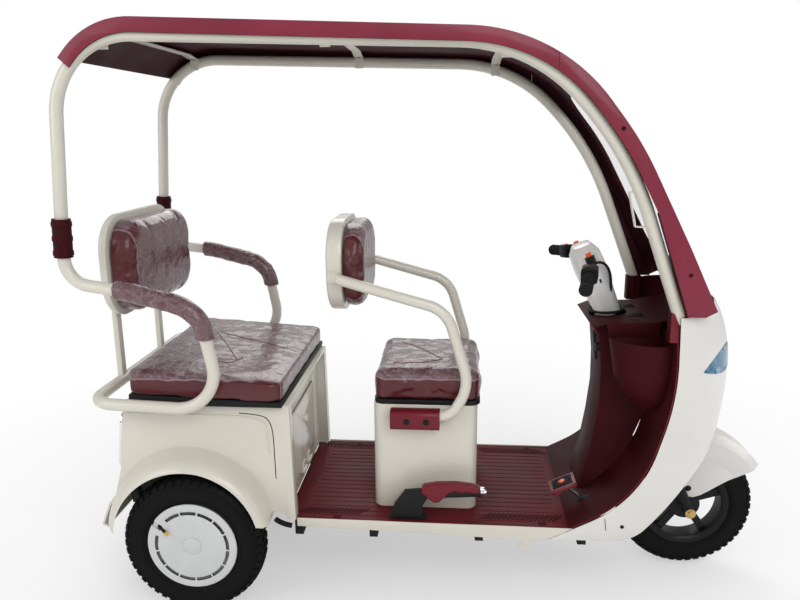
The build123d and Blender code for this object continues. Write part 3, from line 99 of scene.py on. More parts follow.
def new_material(name):
    material = bpy.data.materials.new(name)
    material.use_nodes = True
    material.node_tree.nodes.clear()
    return material, material.node_tree.nodes, material.node_tree.links


def add_node(nodes_here, kind, **settings):
    node = nodes_here.new(kind)
    for key, value in settings.items():
        setattr(node, key, value)
    return node


def new_group(name, inputs, outputs):
    group = bpy.data.node_groups.new(name, "ShaderNodeTree")
    for label, kind, value in inputs:
        socket = group.interface.new_socket(label, in_out="INPUT", socket_type=kind)
        socket.default_value = value
    for label, kind in outputs:
        group.interface.new_socket(label, in_out="OUTPUT", socket_type=kind)
    given = group.nodes.new("NodeGroupInput")
    result = group.nodes.new("NodeGroupOutput")
    return group, given, result


def calculate(nodes_here, links, operation, first, second, third=None):
    """One Math node, whose inputs are numbers or other nodes' outputs."""
    node = add_node(nodes_here, "ShaderNodeMath", operation=operation)
    for place, value in enumerate((first, second, third)):
        if value is None:
            continue
        if isinstance(value, (int, float)):
            node.inputs[place].default_value = value
        else:
            links.new(value, node.inputs[place])
    return node.outputs[0]


def ranged(nodes_here, links, value, low, high, start=0.0, end=1.0):
    """A value spread from one range to another, held at both ends."""
    node = add_node(nodes_here, "ShaderNodeMapRange")
    links.new(value, node.inputs["Value"])
    for label, number in (("From Min", low), ("From Max", high), ("To Min", start), ("To Max", end)):
        node.inputs[label].default_value = number
    return node.outputs[0]


def clouds(nodes_here, links, vector, scale, detail=4.0, distortion=0.0):
    node = add_node(nodes_here, "ShaderNodeTexNoise")
    node.inputs["Detail"].default_value = detail
    node.inputs["Distortion"].default_value = distortion
    links.new(vector, node.inputs["Vector"])
    if isinstance(scale, (int, float)):
        node.inputs["Scale"].default_value = scale
    else:
        links.new(scale, node.inputs["Scale"])
    return node.outputs["Fac"]


def seen_plainly(nodes_here, links):
    """1 where a ray comes from the camera, directly or through clear pieces."""
    rays = add_node(nodes_here, "ShaderNodeLightPath")
    return calculate(
        nodes_here, links, "MAXIMUM", rays.outputs["Is Camera Ray"], rays.outputs["Is Transmission Ray"],
    )


# Studio: a soft even light, and a white backdrop where the camera sees it
studio_light, backdrop_light = 0.56, 1.0
world = bpy.data.worlds.new("studio")
scene.world = world
world.use_nodes = True
world.node_tree.nodes.clear()
wn, wl = world.node_tree.nodes, world.node_tree.links
choice = add_node(wn, "ShaderNodeMixShader")
wl.new(seen_plainly(wn, wl), choice.inputs[0])
for number, strength in ((1, studio_light), (2, backdrop_light)):
    light = add_node(wn, "ShaderNodeBackground")
    light.inputs["Color"].default_value = white
    light.inputs["Strength"].default_value = strength
    wl.new(light.outputs[0], choice.inputs[number])
wl.new(choice.outputs[0], add_node(wn, "ShaderNodeOutputWorld").inputs["Surface"])

# Floor: takes the shadow near the wheels and fades to white further out
floor_size, floor_level = 40, -0.001
fade_start, fade_end, fade_least = 0.9, 2.6, 0.45
floor_grey, floor_roughness = 0.93, 0.9
bpy.ops.mesh.primitive_plane_add(size=floor_size, location=(0, 0, floor_level))
floor = bpy.context.object
floor.name = "studio_floor"
floor_material, fn, fl = new_material("floor_white")
floor_place = add_node(fn, "ShaderNodeTexCoord")
floor_distance = add_node(fn, "ShaderNodeVectorMath", operation="LENGTH")
fl.new(floor_place.outputs["Object"], floor_distance.inputs[0])
fade = ranged(fn, fl, floor_distance.outputs["Value"], fade_start, fade_end, fade_least, 1.0)
fade = calculate(fn, fl, "MULTIPLY", fade, seen_plainly(fn, fl))
floor_shader = add_node(fn, "ShaderNodeBsdfPrincipled")
floor_shader.inputs["Base Color"].default_value = (floor_grey, floor_grey, floor_grey, 1)
floor_shader.inputs["Roughness"].default_value = floor_roughness
floor_white = add_node(fn, "ShaderNodeEmission")
floor_white.inputs["Color"].default_value = white
floor_mix = add_node(fn, "ShaderNodeMixShader")
floor_out = add_node(fn, "ShaderNodeOutputMaterial")
fl.new(fade, floor_mix.inputs[0])
fl.new(floor_shader.outputs[0], floor_mix.inputs[1])
fl.new(floor_white.outputs[0], floor_mix.inputs[2])
fl.new(floor_mix.outputs[0], floor_out.inputs["Surface"])
floor.data.materials.append(floor_material)

lamp_target = Vector((0, 0, 0.8))
lamp_table = [
    # name, place, size, watts
    ("key_lamp", (1.6, -3.6, 3.4), 2.6, 72),
    ("fill_lamp", (-3.2, -2.6, 2.2), 2.4, 36),
    ("back_lamp", (-0.6, 3.4, 3.2), 2.6, 46),
    ("front_lamp", (3.8, 0.2, 2.2), 2.0, 26),
]
for name, place, size, watts in lamp_table:
    lamp_data = bpy.data.lights.new(name, "AREA")
    lamp_data.size = size
    lamp_data.energy = watts
    lamp = bpy.data.objects.new(name, lamp_data)
    lamp.location = place
    lamp.rotation_euler = (lamp_target - Vector(place)).to_track_quat("-Z", "Y").to_euler()
    scene.collection.objects.link(lamp)


def build_finish_group():
    """A colour and its gloss, varied gently over the surface, with a fine grain."""
    group, given, result = new_group(
        "worn_finish",
        [
            ("Color", "NodeSocketColor", (0.5, 0.5, 0.5, 1)), ("Variation", "NodeSocketFloat", 0.08),
            ("Scale", "NodeSocketFloat", 6.0), ("Roughness", "NodeSocketFloat", 0.35),
            ("Grain Scale", "NodeSocketFloat", 900.0),
        ],
        [("Color", "NodeSocketColor"), ("Roughness", "NodeSocketFloat"), ("Height", "NodeSocketFloat")],
    )
    gn, gl = group.nodes, group.links
    place = gn.new("ShaderNodeTexCoord")
    cloud = clouds(gn, gl, place.outputs["Object"], given.outputs["Scale"], 5)
    spread = ranged(gn, gl, cloud, cloud_low, cloud_high, -1.0, 1.0)
    amount = calculate(gn, gl, "MULTIPLY_ADD", spread, given.outputs["Variation"], 1.0)
    shade = add_node(gn, "ShaderNodeVectorMath", operation="SCALE")
    gl.new(given.outputs["Color"], shade.inputs[0])
    gl.new(amount, shade.inputs["Scale"])
    gl.new(shade.outputs[0], result.inputs["Color"])
    gl.new(calculate(gn, gl, "MULTIPLY", given.outputs["Roughness"], amount), result.inputs["Roughness"])
    grain = clouds(gn, gl, place.outputs["Object"], given.outputs["Grain Scale"], 2)
    gl.new(grain, result.inputs["Height"])
    return group


def build_film_group():
    """Creased clear wrapping over vinyl: painted highlights along crease lines and a painted sheen where the
    cover mask is 1, and a pale painted rim where the mask fades.
    """
    group, given, result = new_group(
        "creased_film",
        [
            ("Vinyl", "NodeSocketColor", (0.1, 0.01, 0.02, 1)),
            ("Film Sheen", "NodeSocketColor", (0.6, 0.55, 0.6, 1)),
            ("Cover", "NodeSocketFloat", 1.0), ("Scale", "NodeSocketFloat", 9.0),
            ("Sheen", "NodeSocketFloat", 0.2),
        ],
        [("Color", "NodeSocketColor"), ("Roughness", "NodeSocketFloat"), ("Height", "NodeSocketFloat")],
    )
    gn, gl = group.nodes, group.links
    spot = gn.new("ShaderNodeTexCoord").outputs["Object"]
    cover = given.outputs["Cover"]
    fine_scale = calculate(gn, gl, "MULTIPLY", given.outputs["Scale"], 3.4)
    broad = clouds(gn, gl, spot, given.outputs["Scale"], 3, 1.6)
    fine = clouds(gn, gl, spot, fine_scale, 3, 1.2)
    # Creases run where a noise crosses its middle value
    broad_width, fine_width, broad_share, fine_share = 0.028, 0.04, 0.6, 0.4
    crease = 0.0
    for source, width, share in ((broad, broad_width, broad_share), (fine, fine_width, fine_share)):
        off_line = calculate(gn, gl, "ABSOLUTE", calculate(gn, gl, "SUBTRACT", source, 0.5), 0.0)
        line = ranged(gn, gl, off_line, 0.0, width, 1.0, 0.0)
        crease = calculate(gn, gl, "MULTIPLY_ADD", line, share, crease)
    # The haze is a painted sheen of the clear film, paler in broad patches
    least_sheen, most_sheen = 0.6, 1.35
    sheen = ranged(gn, gl, broad, cloud_low, cloud_high, least_sheen, most_sheen)
    sheen = calculate(gn, gl, "MULTIPLY", sheen, given.outputs["Sheen"])
    # Crease lines and the cover's soft rim are drawn pale as painted highlights on the clear film
    crease_highlight_strength, edge_highlight_strength = 0.30, 1.4
    amount = calculate(gn, gl, "MULTIPLY_ADD", crease, crease_highlight_strength, sheen)
    amount = calculate(gn, gl, "MULTIPLY", amount, cover)
    edge = calculate(gn, gl, "MULTIPLY", cover, calculate(gn, gl, "SUBTRACT", 1.0, cover))
    amount = calculate(gn, gl, "MULTIPLY_ADD", edge, edge_highlight_strength, amount)
    amount = calculate(gn, gl, "MINIMUM", amount, 1.0)
    blend = add_node(gn, "ShaderNodeMix", data_type="RGBA")
    first_color, second_color, mixed_color = 6, 7, 2
    gl.new(amount, blend.inputs["Factor"])
    gl.new(given.outputs["Vinyl"], blend.inputs[first_color])
    gl.new(given.outputs["Film Sheen"], blend.inputs[second_color])
    gl.new(blend.outputs[mixed_color], result.inputs["Color"])
    bare_roughness, film_roughness = 0.42, 0.24
    gl.new(ranged(gn, gl, cover, 0.0, 1.0, bare_roughness, film_roughness), result.inputs["Roughness"])
    broad_height, crease_height = 0.8, 0.5
    height = calculate(gn, gl, "MULTIPLY", crease, crease_height)
    height = calculate(gn, gl, "MULTIPLY_ADD", broad, broad_height, height)
    gl.new(calculate(gn, gl, "MULTIPLY", height, cover), result.inputs["Height"])
    return group


finish_group = build_finish_group()
film_group = build_film_group()
plastic_ior, coat_roughness = 1.45, 0.08


def shaded(name, group, settings, metallic=0.0, coat=0.0, bump=0.02, distance=0.001, specular=0.5, alpha=1.0):
    """A material whose colour, gloss and bump come from a shared group."""
    material, mn, ml = new_material(name)
    shader = add_node(mn, "ShaderNodeBsdfPrincipled")
    end = add_node(mn, "ShaderNodeOutputMaterial")
    ml.new(shader.outputs[0], end.inputs["Surface"])
    look = add_node(mn, "ShaderNodeGroup", node_tree=group)
    for label, value in settings.items():
        look.inputs[label].default_value = value
    ml.new(look.outputs["Color"], shader.inputs["Base Color"])
    ml.new(look.outputs["Roughness"], shader.inputs["Roughness"])
    bumps = add_node(mn, "ShaderNodeBump")
    bumps.inputs["Strength"].default_value = bump
    bumps.inputs["Distance"].default_value = distance
    ml.new(look.outputs["Height"], bumps.inputs["Height"])
    ml.new(bumps.outputs[0], shader.inputs["Normal"])
    shader.inputs["Metallic"].default_value = metallic
    shader.inputs["Coat Weight"].default_value = coat
    shader.inputs["Coat Roughness"].default_value = coat_roughness
    shader.inputs["Specular IOR Level"].default_value = specular
    shader.inputs["IOR"].default_value = plastic_ior
    shader.inputs["Alpha"].default_value = alpha
    return material, look, mn, ml


def finish(name, color, roughness, variation=0.06, scale=5.0, grain=900.0, **extra):
    settings = {
        "Color": (*color, 1), "Variation": variation, "Scale": scale, "Roughness": roughness,
        "Grain Scale": grain,
    }
    return shaded(name, finish_group, settings, **extra)[0]


# The pale film colour is painted sheen and highlights of the clear film over the dark vinyl
vinyl_color, film_sheen_color = (0.085, 0.007, 0.012), (0.46, 0.42, 0.46)
ragged_scale, ragged_reach, limit_softness = 22.0, 0.0035, 0.003


def wrapped_vinyl(name, limits, scale, sheen):
    """Vinyl under creased film, bare where a point is past every limit in the list."""
    settings = {
        "Vinyl": (*vinyl_color, 1), "Film Sheen": (*film_sheen_color, 1), "Scale": scale, "Sheen": sheen, "Cover": 1.0,
    }
    material, look, mn, ml = shaded(name, film_group, settings, coat=0.35, bump=0.55, distance=0.004)
    if limits:
        place = add_node(mn, "ShaderNodeTexCoord")
        split = add_node(mn, "ShaderNodeSeparateXYZ")
        ml.new(place.outputs["Object"], split.inputs[0])
        ragged = clouds(mn, ml, place.outputs["Object"], ragged_scale, 3)
        ragged = ranged(mn, ml, ragged, cloud_low, cloud_high, -ragged_reach, ragged_reach)
        bare = 1.0
        for axis, level, direction in limits:
            value = calculate(mn, ml, "ADD", split.outputs[axis], ragged)
            softness = limit_softness * direction
            inside = ranged(mn, ml, value, level - softness, level + softness)
            bare = calculate(mn, ml, "MULTIPLY", inside, bare)
        ml.new(calculate(mn, ml, "SUBTRACT", 1.0, bare), look.inputs["Cover"])
    return material


canopy_maroon = finish("canopy_maroon", (0.205, 0.017, 0.040), 0.4, coat=0.15, variation=0.12, specular=0.35)
maroon = finish("maroon_moulding", (0.105, 0.008, 0.015), 0.5, variation=0.14, specular=0.16, grain=420,
                bump=0.15)
bright_maroon = finish("bright_maroon", (0.155, 0.008, 0.018), 0.36, coat=0.12, variation=0.08, specular=0.3)
dark_maroon = finish("dark_maroon_moulding", (0.044, 0.0045, 0.007), 0.55, variation=0.14, specular=0.1,
                     grain=420, bump=0.15)
# A much darker maroon for undersides and insides: partly their own darker colour, partly painted shade
underside_shade_maroon = finish("painted_underside_shade", (0.036, 0.005, 0.009), 0.6, variation=0.15, specular=0.12)
cream = finish("cream_paint", (0.665, 0.635, 0.555), 0.3, coat=0.45, variation=0.03)
offwhite = finish("offwhite_moulding", (0.70, 0.69, 0.66), 0.28, coat=0.4, variation=0.025)
tyre_rubber = finish("tyre_rubber", (0.007, 0.007, 0.0075), 0.7, variation=0.3, scale=9, grain=500, bump=0.25,
                     specular=0.12)
cover_grey = finish("cover_grey_paint", (0.60, 0.61, 0.61), 0.36, coat=0.15, variation=0.03)
black_alloy = finish("black_alloy", (0.008, 0.008, 0.009), 0.45, coat=0.08, variation=0.1, specular=0.2)
black_paint = finish("black_paint", (0.009, 0.009, 0.010), 0.45, coat=0.08, variation=0.1, specular=0.2)
steel = finish("plain_steel", (0.42, 0.42, 0.43), 0.34, metallic=1.0, variation=0.08)
black_rubber = finish("black_rubber", (0.008, 0.008, 0.009), 0.6, variation=0.1, bump=0.15, specular=0.2)
black_plastic = finish("black_plastic", (0.010, 0.010, 0.011), 0.5, variation=0.1, bump=0.08, specular=0.25)
chrome = finish("chrome", (0.85, 0.85, 0.87), 0.07, metallic=1.0, variation=0.02)
gold_nut = finish("gold_zinc", (0.62, 0.42, 0.16), 0.3, metallic=1.0, variation=0.15, scale=40)
orange_cap = finish("orange_cap", (0.80, 0.09, 0.01), 0.35, coat=0.2, variation=0.05)
yellow_cap = finish("yellow_cap", (0.72, 0.34, 0.02), 0.35, variation=0.05)
red_lens = finish("red_lens", (0.42, 0.01, 0.015), 0.12, coat=0.8, variation=0.05)
lamp_glass = finish("lamp_glass", (0.022, 0.15, 0.27), 0.05, coat=0.6, variation=0.35, scale=38, bump=0.0)
clear_glass = finish("clear_glass", (0.62, 0.66, 0.67), 0.05, variation=0.01, bump=0.0, alpha=0.14)
vinyl = finish("maroon_vinyl", vinyl_color, 0.4, coat=0.2, variation=0.08, grain=700, bump=0.12)
# Each limit is an axis, the level that bounds the bare vinyl, and the side of the level that is bare
bench_wrap = wrapped_vinyl("bench_wrap", [("Y", -0.302, -1), ("Z", 0.712, -1)], 8.0, 0.15)
seat_wrap = wrapped_vinyl("seat_wrap", [("Y", -0.170, -1), ("Z", 0.682, -1)], 10.0, 0.16)
rear_back_wrap = wrapped_vinyl(
    "rear_back_wrap", [("Y", -0.205, -1), ("Z", 0.925, 1), ("Z", 1.130, -1)], 10.0, 0.10,
)
front_back_wrap = wrapped_vinyl(
    "front_back_wrap", [("Y", -0.145, -1), ("Z", 0.905, 1), ("Z", 1.120, -1)], 13.0, 0.15,
)
sleeve_wrap = wrapped_vinyl("sleeve_wrap", [], 17.0, 0.15)

materials_by_slot = {
    "tyre": tyre_rubber, "wheel_cover_grey": cover_grey, "black_alloy": black_alloy,
    "black_paint": black_paint, "steel": steel, "black_rubber": black_rubber, "black_plastic": black_plastic,
    "maroon_plastic": maroon, "dark_maroon_plastic": dark_maroon, "cream_paint": cream,
    "offwhite_plastic": offwhite, "maroon_vinyl": vinyl, "red_lens": red_lens, "lamp_lens": lamp_glass,
    "chrome": chrome, "clear_glass": clear_glass,
}
slot_of = {part["node"]: part["material_slot"] for part in frame["record"]["subparts"]}
bodies = frame["record"]["behaviour"]["bodies"]
body_of_node = {name: body for body, names in bodies.items() for name in names}


# Ways of working
merge_gap, flat_angle = 0.00002, math.radians(0.6)
# In degrees: sharper edges are rounded, and blunter ones on the cushions shaded smooth
node_edge_angle, plate_edge_angle, soft_angle = 35, 50, 80


def open_mesh(piece):
    deselect(action="DESELECT")
    bpy.context.view_layer.objects.active = piece
    piece.select_set(True)
    bpy.ops.object.mode_set(mode="EDIT")
    bpy.context.tool_settings.mesh_select_mode = (False, False, True)


def close_mesh():
    bpy.ops.object.mode_set(mode="OBJECT")


def pick_faces(test):
    """In edit mode, select just the faces whose centre and normal pass the test."""
    bpy.ops.mesh.select_all(action="DESELECT")
    mesh = bmesh.from_edit_mesh(bpy.context.object.data)
    for face in mesh.faces:
        if test(face.calc_center_median(), face.normal):
            face.select_set(True)
    bmesh.update_edit_mesh(bpy.context.object.data)


def move_picked(step):
    """In edit mode, move each selected point by what step gives for its place."""
    mesh = bmesh.from_edit_mesh(bpy.context.object.data)
    for point in mesh.verts:
        if point.select:
            point.co += step(point.co)
    bmesh.update_edit_mesh(bpy.context.object.data)


def turned(origin, z_axis, x_axis=(1, 0, 0)):
    """The matrix that stands a shape at a place, its own Z along one axis and its X near another."""
    up_axis = Vector(z_axis).normalized()
    across = Vector(x_axis)
    across = (across - up_axis * across.dot(up_axis)).normalized()
    return Matrix.Translation(origin) @ Matrix((across, up_axis.cross(across), up_axis)).transposed().to_4x4()


def settle(piece, name, body, material, smooth_angle=35):
    """Name a finished piece, give it its finish and set it on the body that it rides."""
    piece.name = name
    piece.data.materials.clear()
    piece.data.materials.append(material)
    deselect(action="DESELECT")
    bpy.context.view_layer.objects.active = piece
    piece.select_set(True)
    bpy.ops.object.transform_apply(location=True, rotation=True, scale=True)
    bpy.ops.object.shade_smooth_by_angle(angle=math.radians(smooth_angle))
    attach(piece, body)
    deselect(action="DESELECT")
    return piece


def joined(pieces):
    """Several pieces made one."""
    deselect(action="DESELECT")
    for piece in pieces:
        piece.select_set(True)
    bpy.context.view_layer.objects.active = pieces[0]
    bpy.ops.object.join()
    return bpy.context.object


def copied(template, matrix):
    """A copy of a shape, with its own mesh, put in its place."""
    piece = template.copy()
    piece.data = template.data.copy()
    scene.collection.objects.link(piece)
    piece.data.transform(matrix)
    return piece


def rounded_block(size, edge, segments=3):
    """A block with rounded edges, centred at the origin."""
    bpy.ops.mesh.primitive_cube_add(size=1)
    piece = bpy.context.object
    piece.data.transform(Matrix.Diagonal((*size, 1)))
    open_mesh(piece)
    bpy.ops.mesh.select_all(action="SELECT")
    bpy.ops.mesh.bevel(offset=edge, segments=segments, affect="EDGES")
    close_mesh()
    return piece


def capped_round(radius, height, edge, vertices=32, recess=0.0):
    """A short cylinder on the XY plane with a softened rim and, if asked, a hollow in its top."""
    rim_rise, hollow_rim, hollow_slope = 0.6, 0.35, 0.5
    bpy.ops.mesh.primitive_cylinder_add(
        vertices=vertices, radius=radius, depth=height, location=(0, 0, height / 2),
    )
    piece = bpy.context.object
    bpy.ops.object.transform_apply(location=True, rotation=False, scale=False)
    open_mesh(piece)
    pick_faces(lambda centre, normal: normal.z > 0.9)
    bpy.ops.mesh.inset(thickness=edge, depth=0)
    move_picked(lambda place: Vector((0, 0, edge * rim_rise)))
    if recess > 0:
        bpy.ops.mesh.inset(thickness=radius * hollow_rim, depth=0)
        bpy.ops.mesh.inset(thickness=edge * hollow_slope, depth=0)
        move_picked(lambda place: Vector((0, 0, -recess)))
    close_mesh()
    return piece


def bent_tube(points, radius, smooth_steps=8):
    """A round rod along a smooth line through a few guide points."""
    line = bpy.data.curves.new("bent_tube", "CURVE")
    line.dimensions = "3D"
    line.bevel_depth = radius
    line.bevel_resolution = 3
    line.use_fill_caps = True
    line.resolution_u = smooth_steps
    run = line.splines.new("NURBS")
    run.points.add(len(points) - 1)
    for point, place in zip(run.points, points):
        point.co = (*place, 1)
    run.order_u = 3
    run.use_endpoint_u = True
    piece = bpy.data.objects.new("bent_tube", line)
    scene.collection.objects.link(piece)
    deselect(action="DESELECT")
    bpy.context.view_layer.objects.active = piece
    piece.select_set(True)
    bpy.ops.object.convert(target="MESH")
    piece = bpy.context.object
    open_mesh(piece)
    bpy.ops.mesh.select_all(action="SELECT")
    bpy.ops.mesh.remove_doubles(threshold=merge_gap)
    bpy.ops.mesh.normals_make_consistent(inside=False)
    close_mesh()
    return piece


def search_tree(mesh):
    return BVHTree.FromPolygons(
        [point.co for point in mesh.vertices], [tuple(face.vertices) for face in mesh.polygons],
    )


search_trees = {}


def surface_of(node, start, direction):
    """Where a ray from outside first meets a CAD node, and which way the surface faces there."""
    if node not in search_trees:
        search_trees[node] = search_tree(nodes[node].data)
    place, normal, _, _ = search_trees[node].ray_cast(Vector(start), Vector(direction).normalized())
    if place is None:
        raise RuntimeError(f"nothing of {node} from {start}")
    if normal.dot(Vector(direction)) > 0:
        normal = -normal
    return place, normal


def paint(piece, material, test):
    """Give the faces that pass the test another finish."""
    piece.data.materials.append(material)
    number = len(piece.data.materials) - 1
    for face in piece.data.polygons:
        if test(face.center, face.normal):
            face.material_index = number


def modified(piece, kind, **settings):
    """Give the active piece one modifier with these settings and apply it."""
    modifier = piece.modifiers.new(kind.lower(), kind)
    for label, value in settings.items():
        setattr(modifier, label, value)
    bpy.ops.object.modifier_apply(modifier=modifier.name)


def softened(piece, width, segments, angle):
    """Round the edges that are sharper than an angle in degrees."""
    modified(piece, "BEVEL", width=width, segments=segments, limit_method="ANGLE",
             angle_limit=math.radians(angle))


def node_copy(name, dissolve=True):
    """A merged copy of a CAD node's mesh."""
    source = nodes[name]
    piece = source.copy()
    piece.data = source.data.copy()
    for key in list(piece.keys()):
        del piece[key]
    piece.parent = None
    scene.collection.objects.link(piece)
    open_mesh(piece)
    bpy.ops.mesh.select_all(action="SELECT")
    bpy.ops.mesh.remove_doubles(threshold=merge_gap)
    if dissolve:
        bpy.ops.mesh.dissolve_limited(angle_limit=flat_angle)
    close_mesh()
    return piece


def dressed(name, edge, material):
    """A smooth copy of a CAD node with softened edges, which stands for the node."""
    piece = node_copy(name)
    if edge > 0:
        softened(piece, edge, 2, node_edge_angle)
    slot = slot_of[name]
    settle(piece, name + "_shell", body_of_node[name], material or materials_by_slot[slot])
    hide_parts(name)
    return piece


air_pressure, air_frames = 4, 20


def swelled(name, piece_name, material, inset, cap, voxel, fill, rest, folds, fold_size):
    """A cushion: the node's block a little smaller, remeshed, blown up as cloth and creased."""
    piece = node_copy(name, dissolve=False)
    low, high = (Vector(corner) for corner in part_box(name))
    middle = (low + high) / 2
    shrink = [(high[i] - low[i] - 2 * inset) / (high[i] - low[i]) for i in range(3)]
    piece.data.transform(
        Matrix.Translation(middle) @ Matrix.Diagonal((*shrink, 1)) @ Matrix.Translation(-middle)
    )
    modified(piece, "REMESH", mode="VOXEL", voxel_size=voxel)
    started = [point.co.copy() for point in piece.data.vertices]
    air = piece.modifiers.new("air", "CLOTH")
    air.settings.use_pressure = True
    air.settings.uniform_pressure_force = air_pressure
    air.settings.effector_weights.gravity = 0
    air.point_cache.frame_start = 1
    air.point_cache.frame_end = air_frames
    for number in range(1, air_frames + 1):
        scene.frame_set(number)
    bpy.context.view_layer.objects.active = piece
    bpy.ops.object.modifier_apply(modifier="air")
    scene.frame_set(1)
    for point, first in zip(piece.data.vertices, started):
        moved = point.co - first
        if moved.length > cap:
            point.co = first + moved * (cap / moved.length)
    pattern = bpy.data.textures.new(piece_name + "_folds", "CLOUDS")
    pattern.noise_scale = fold_size
    pattern.noise_depth = 3
    modified(piece, "DISPLACE", texture=pattern, strength=folds, mid_level=0.5)
    modified(piece, "SMOOTH", factor=0.5, iterations=2)
    for point in piece.data.vertices:
        rest(point.co)
    modified(piece, "SUBSURF", levels=1, render_levels=1)
    settle(piece, piece_name, body_of_node[name], material, soft_angle)
    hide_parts(name)
    return piece


def sewn_line(name, cushion, guide, radius, body, material):
    """Piping laid on a cushion's top along a line of guide points."""
    steps, sunk_share = 7, 0.3
    route = []
    for first, second in zip(guide, guide[1:]):
        for step in range(steps):
            share = step / steps
            route.append([start + (end - start) * share for start, end in zip(first, second)])
    route.append(guide[-1])
    top = search_tree(cushion.data)
    points = []
    for across, along in route:
        place, _, _, _ = top.ray_cast(Vector((across, along, 2)), Vector((0, 0, -1)))
        if place is not None:
            points.append((place.x, place.y, place.z - radius * sunk_share))
    return settle(bent_tube(points, radius, smooth_steps=3), name, body, material)


def plate_of(outline, thickness, name, edge):
    """A plate of the given outline, given its thickness along one direction and soft edges."""
    mesh = bpy.data.meshes.new(name)
    mesh.from_pydata(outline, [], [list(range(len(outline)))])
    plate = bpy.data.objects.new(name + "_outline", mesh)
    scene.collection.objects.link(plate)
    open_mesh(plate)
    bpy.ops.mesh.select_all(action="SELECT")
    bpy.ops.mesh.extrude_region_move(TRANSFORM_OT_translate={"value": thickness})
    bpy.ops.mesh.select_all(action="SELECT")
    bpy.ops.mesh.normals_make_consistent(inside=False)
    close_mesh()
    softened(plate, edge, 3, plate_edge_angle)
    return plate


# Cushions and pads, each kept off the board or shell that it rests on
board_rear, board_front, board_gap = (-0.893, 0.6655), (-0.421, 0.647), 0.0008
seat_board_top = 0.6150
rear_shell_face, front_shell_face = -0.9432, -0.2652


def rest_on_bench(place):
    slope = (board_front[1] - board_rear[1]) / (board_front[0] - board_rear[0])
    place.z = max(place.z, board_rear[1] + (place.x - board_rear[0]) * slope + board_gap)


def rest_on_seat(place):
    place.z = max(place.z, seat_board_top)


def rest_on_rear_shell(place):
    place.x = max(place.x, rear_shell_face)


def rest_on_front_shell(place):
    place.x = max(place.x, front_shell_face)


def rest_round_tube(place):
    """A sleeve goes all round its tube, so nothing flattens it."""


cushion_table = [
    # node, piece, finish, inset, most swell, voxel, fill, rest, fold depth, fold size
    ("bench_cushion", "bench_pad", bench_wrap, 0.001, 0.007, 0.0068, 0.85, rest_on_bench, 0.004, 0.05),
    ("driver_cushion", "driver_pad", seat_wrap, 0.001, 0.008, 0.005, 0.85, rest_on_seat, 0.004, 0.045),
    ("rear_backrest_cushion", "rear_back_pad", rear_back_wrap, 0.002, 0.008, 0.005, 0.85,
     rest_on_rear_shell, 0.003, 0.045),
    ("driver_backrest_cushion", "driver_back_pad", front_back_wrap, 0.002, 0.007, 0.0042, 0.85,
     rest_on_front_shell, 0.003, 0.04),
    ("armrest_pads", "armrest_sleeves", sleeve_wrap, 0.0, 0.003, 0.0034, 0.6, rest_round_tube, 0.006, 0.03),
]
cushions = {row[0]: swelled(*row) for row in cushion_table}

seam_radius = 0.0022
seam_table = [
    # name, cushion, guide points seen from above
    ("bench_seam_long", "bench_cushion", [(-0.744, 0.123), (-0.588, 0.052), (-0.45, -0.013)]),
    ("bench_seam_cross", "bench_cushion", [(-0.761, 0.128), (-0.676, -0.018), (-0.608, -0.143)]),
    ("bench_seam_end", "bench_cushion", [(-0.689, -0.166), (-0.621, -0.182), (-0.592, -0.131)]),
    ("seat_seam_left", "driver_cushion", [(-0.11, 0.11), (-0.03, 0.02), (0.03, -0.07)]),
    ("seat_seam_right", "driver_cushion", [(0.03, -0.07), (-0.03, -0.11), (-0.12, -0.12)]),
]
for name, cushion, guide in seam_table:
    sewn_line(
        name, cushions[cushion], guide, seam_radius, body_of_node[cushion], bright_maroon,
    )

# Tyres, with tread blocks on the crown and fine ribs on the walls
sides = ((-1, "right"), (1, "left"))
rear_axle_x, front_axle_x, axle_height = -0.700, 0.822, 0.215
tyre_table = [
    # node, centre, width
    ("tyre_rear_right", (rear_axle_x, -0.343, axle_height), 0.088),
    ("tyre_rear_left", (rear_axle_x, 0.343, axle_height), 0.088),
    ("tyre_front", (front_axle_x, 0, axle_height), 0.080),
]
section_middle, section_radius, section_power = 0.1695, 0.0415, 0.72
tread_height, tread_steps, tread_least_radius, block_gap = 0.004, 144, 0.18, 0.0009
# Shares of the half width that the crown's and the shoulders' blocks take up
crown_end, shoulder_start, shoulder_end = 0.35, 0.6, 0.93
rib_rings, rib_radius = (0.146, 0.152, 0.186), 0.0012


def fuller(value):
    return math.copysign(abs(value) ** section_power, value)


def from_section(place):
    """The direction out of the tyre's section at a point."""
    ring = math.hypot(place.x, place.y)
    radial = Vector((place.x / ring, place.y / ring, 0))
    return (radial * (ring - section_middle) + Vector((0, 0, place.z))).normalized()


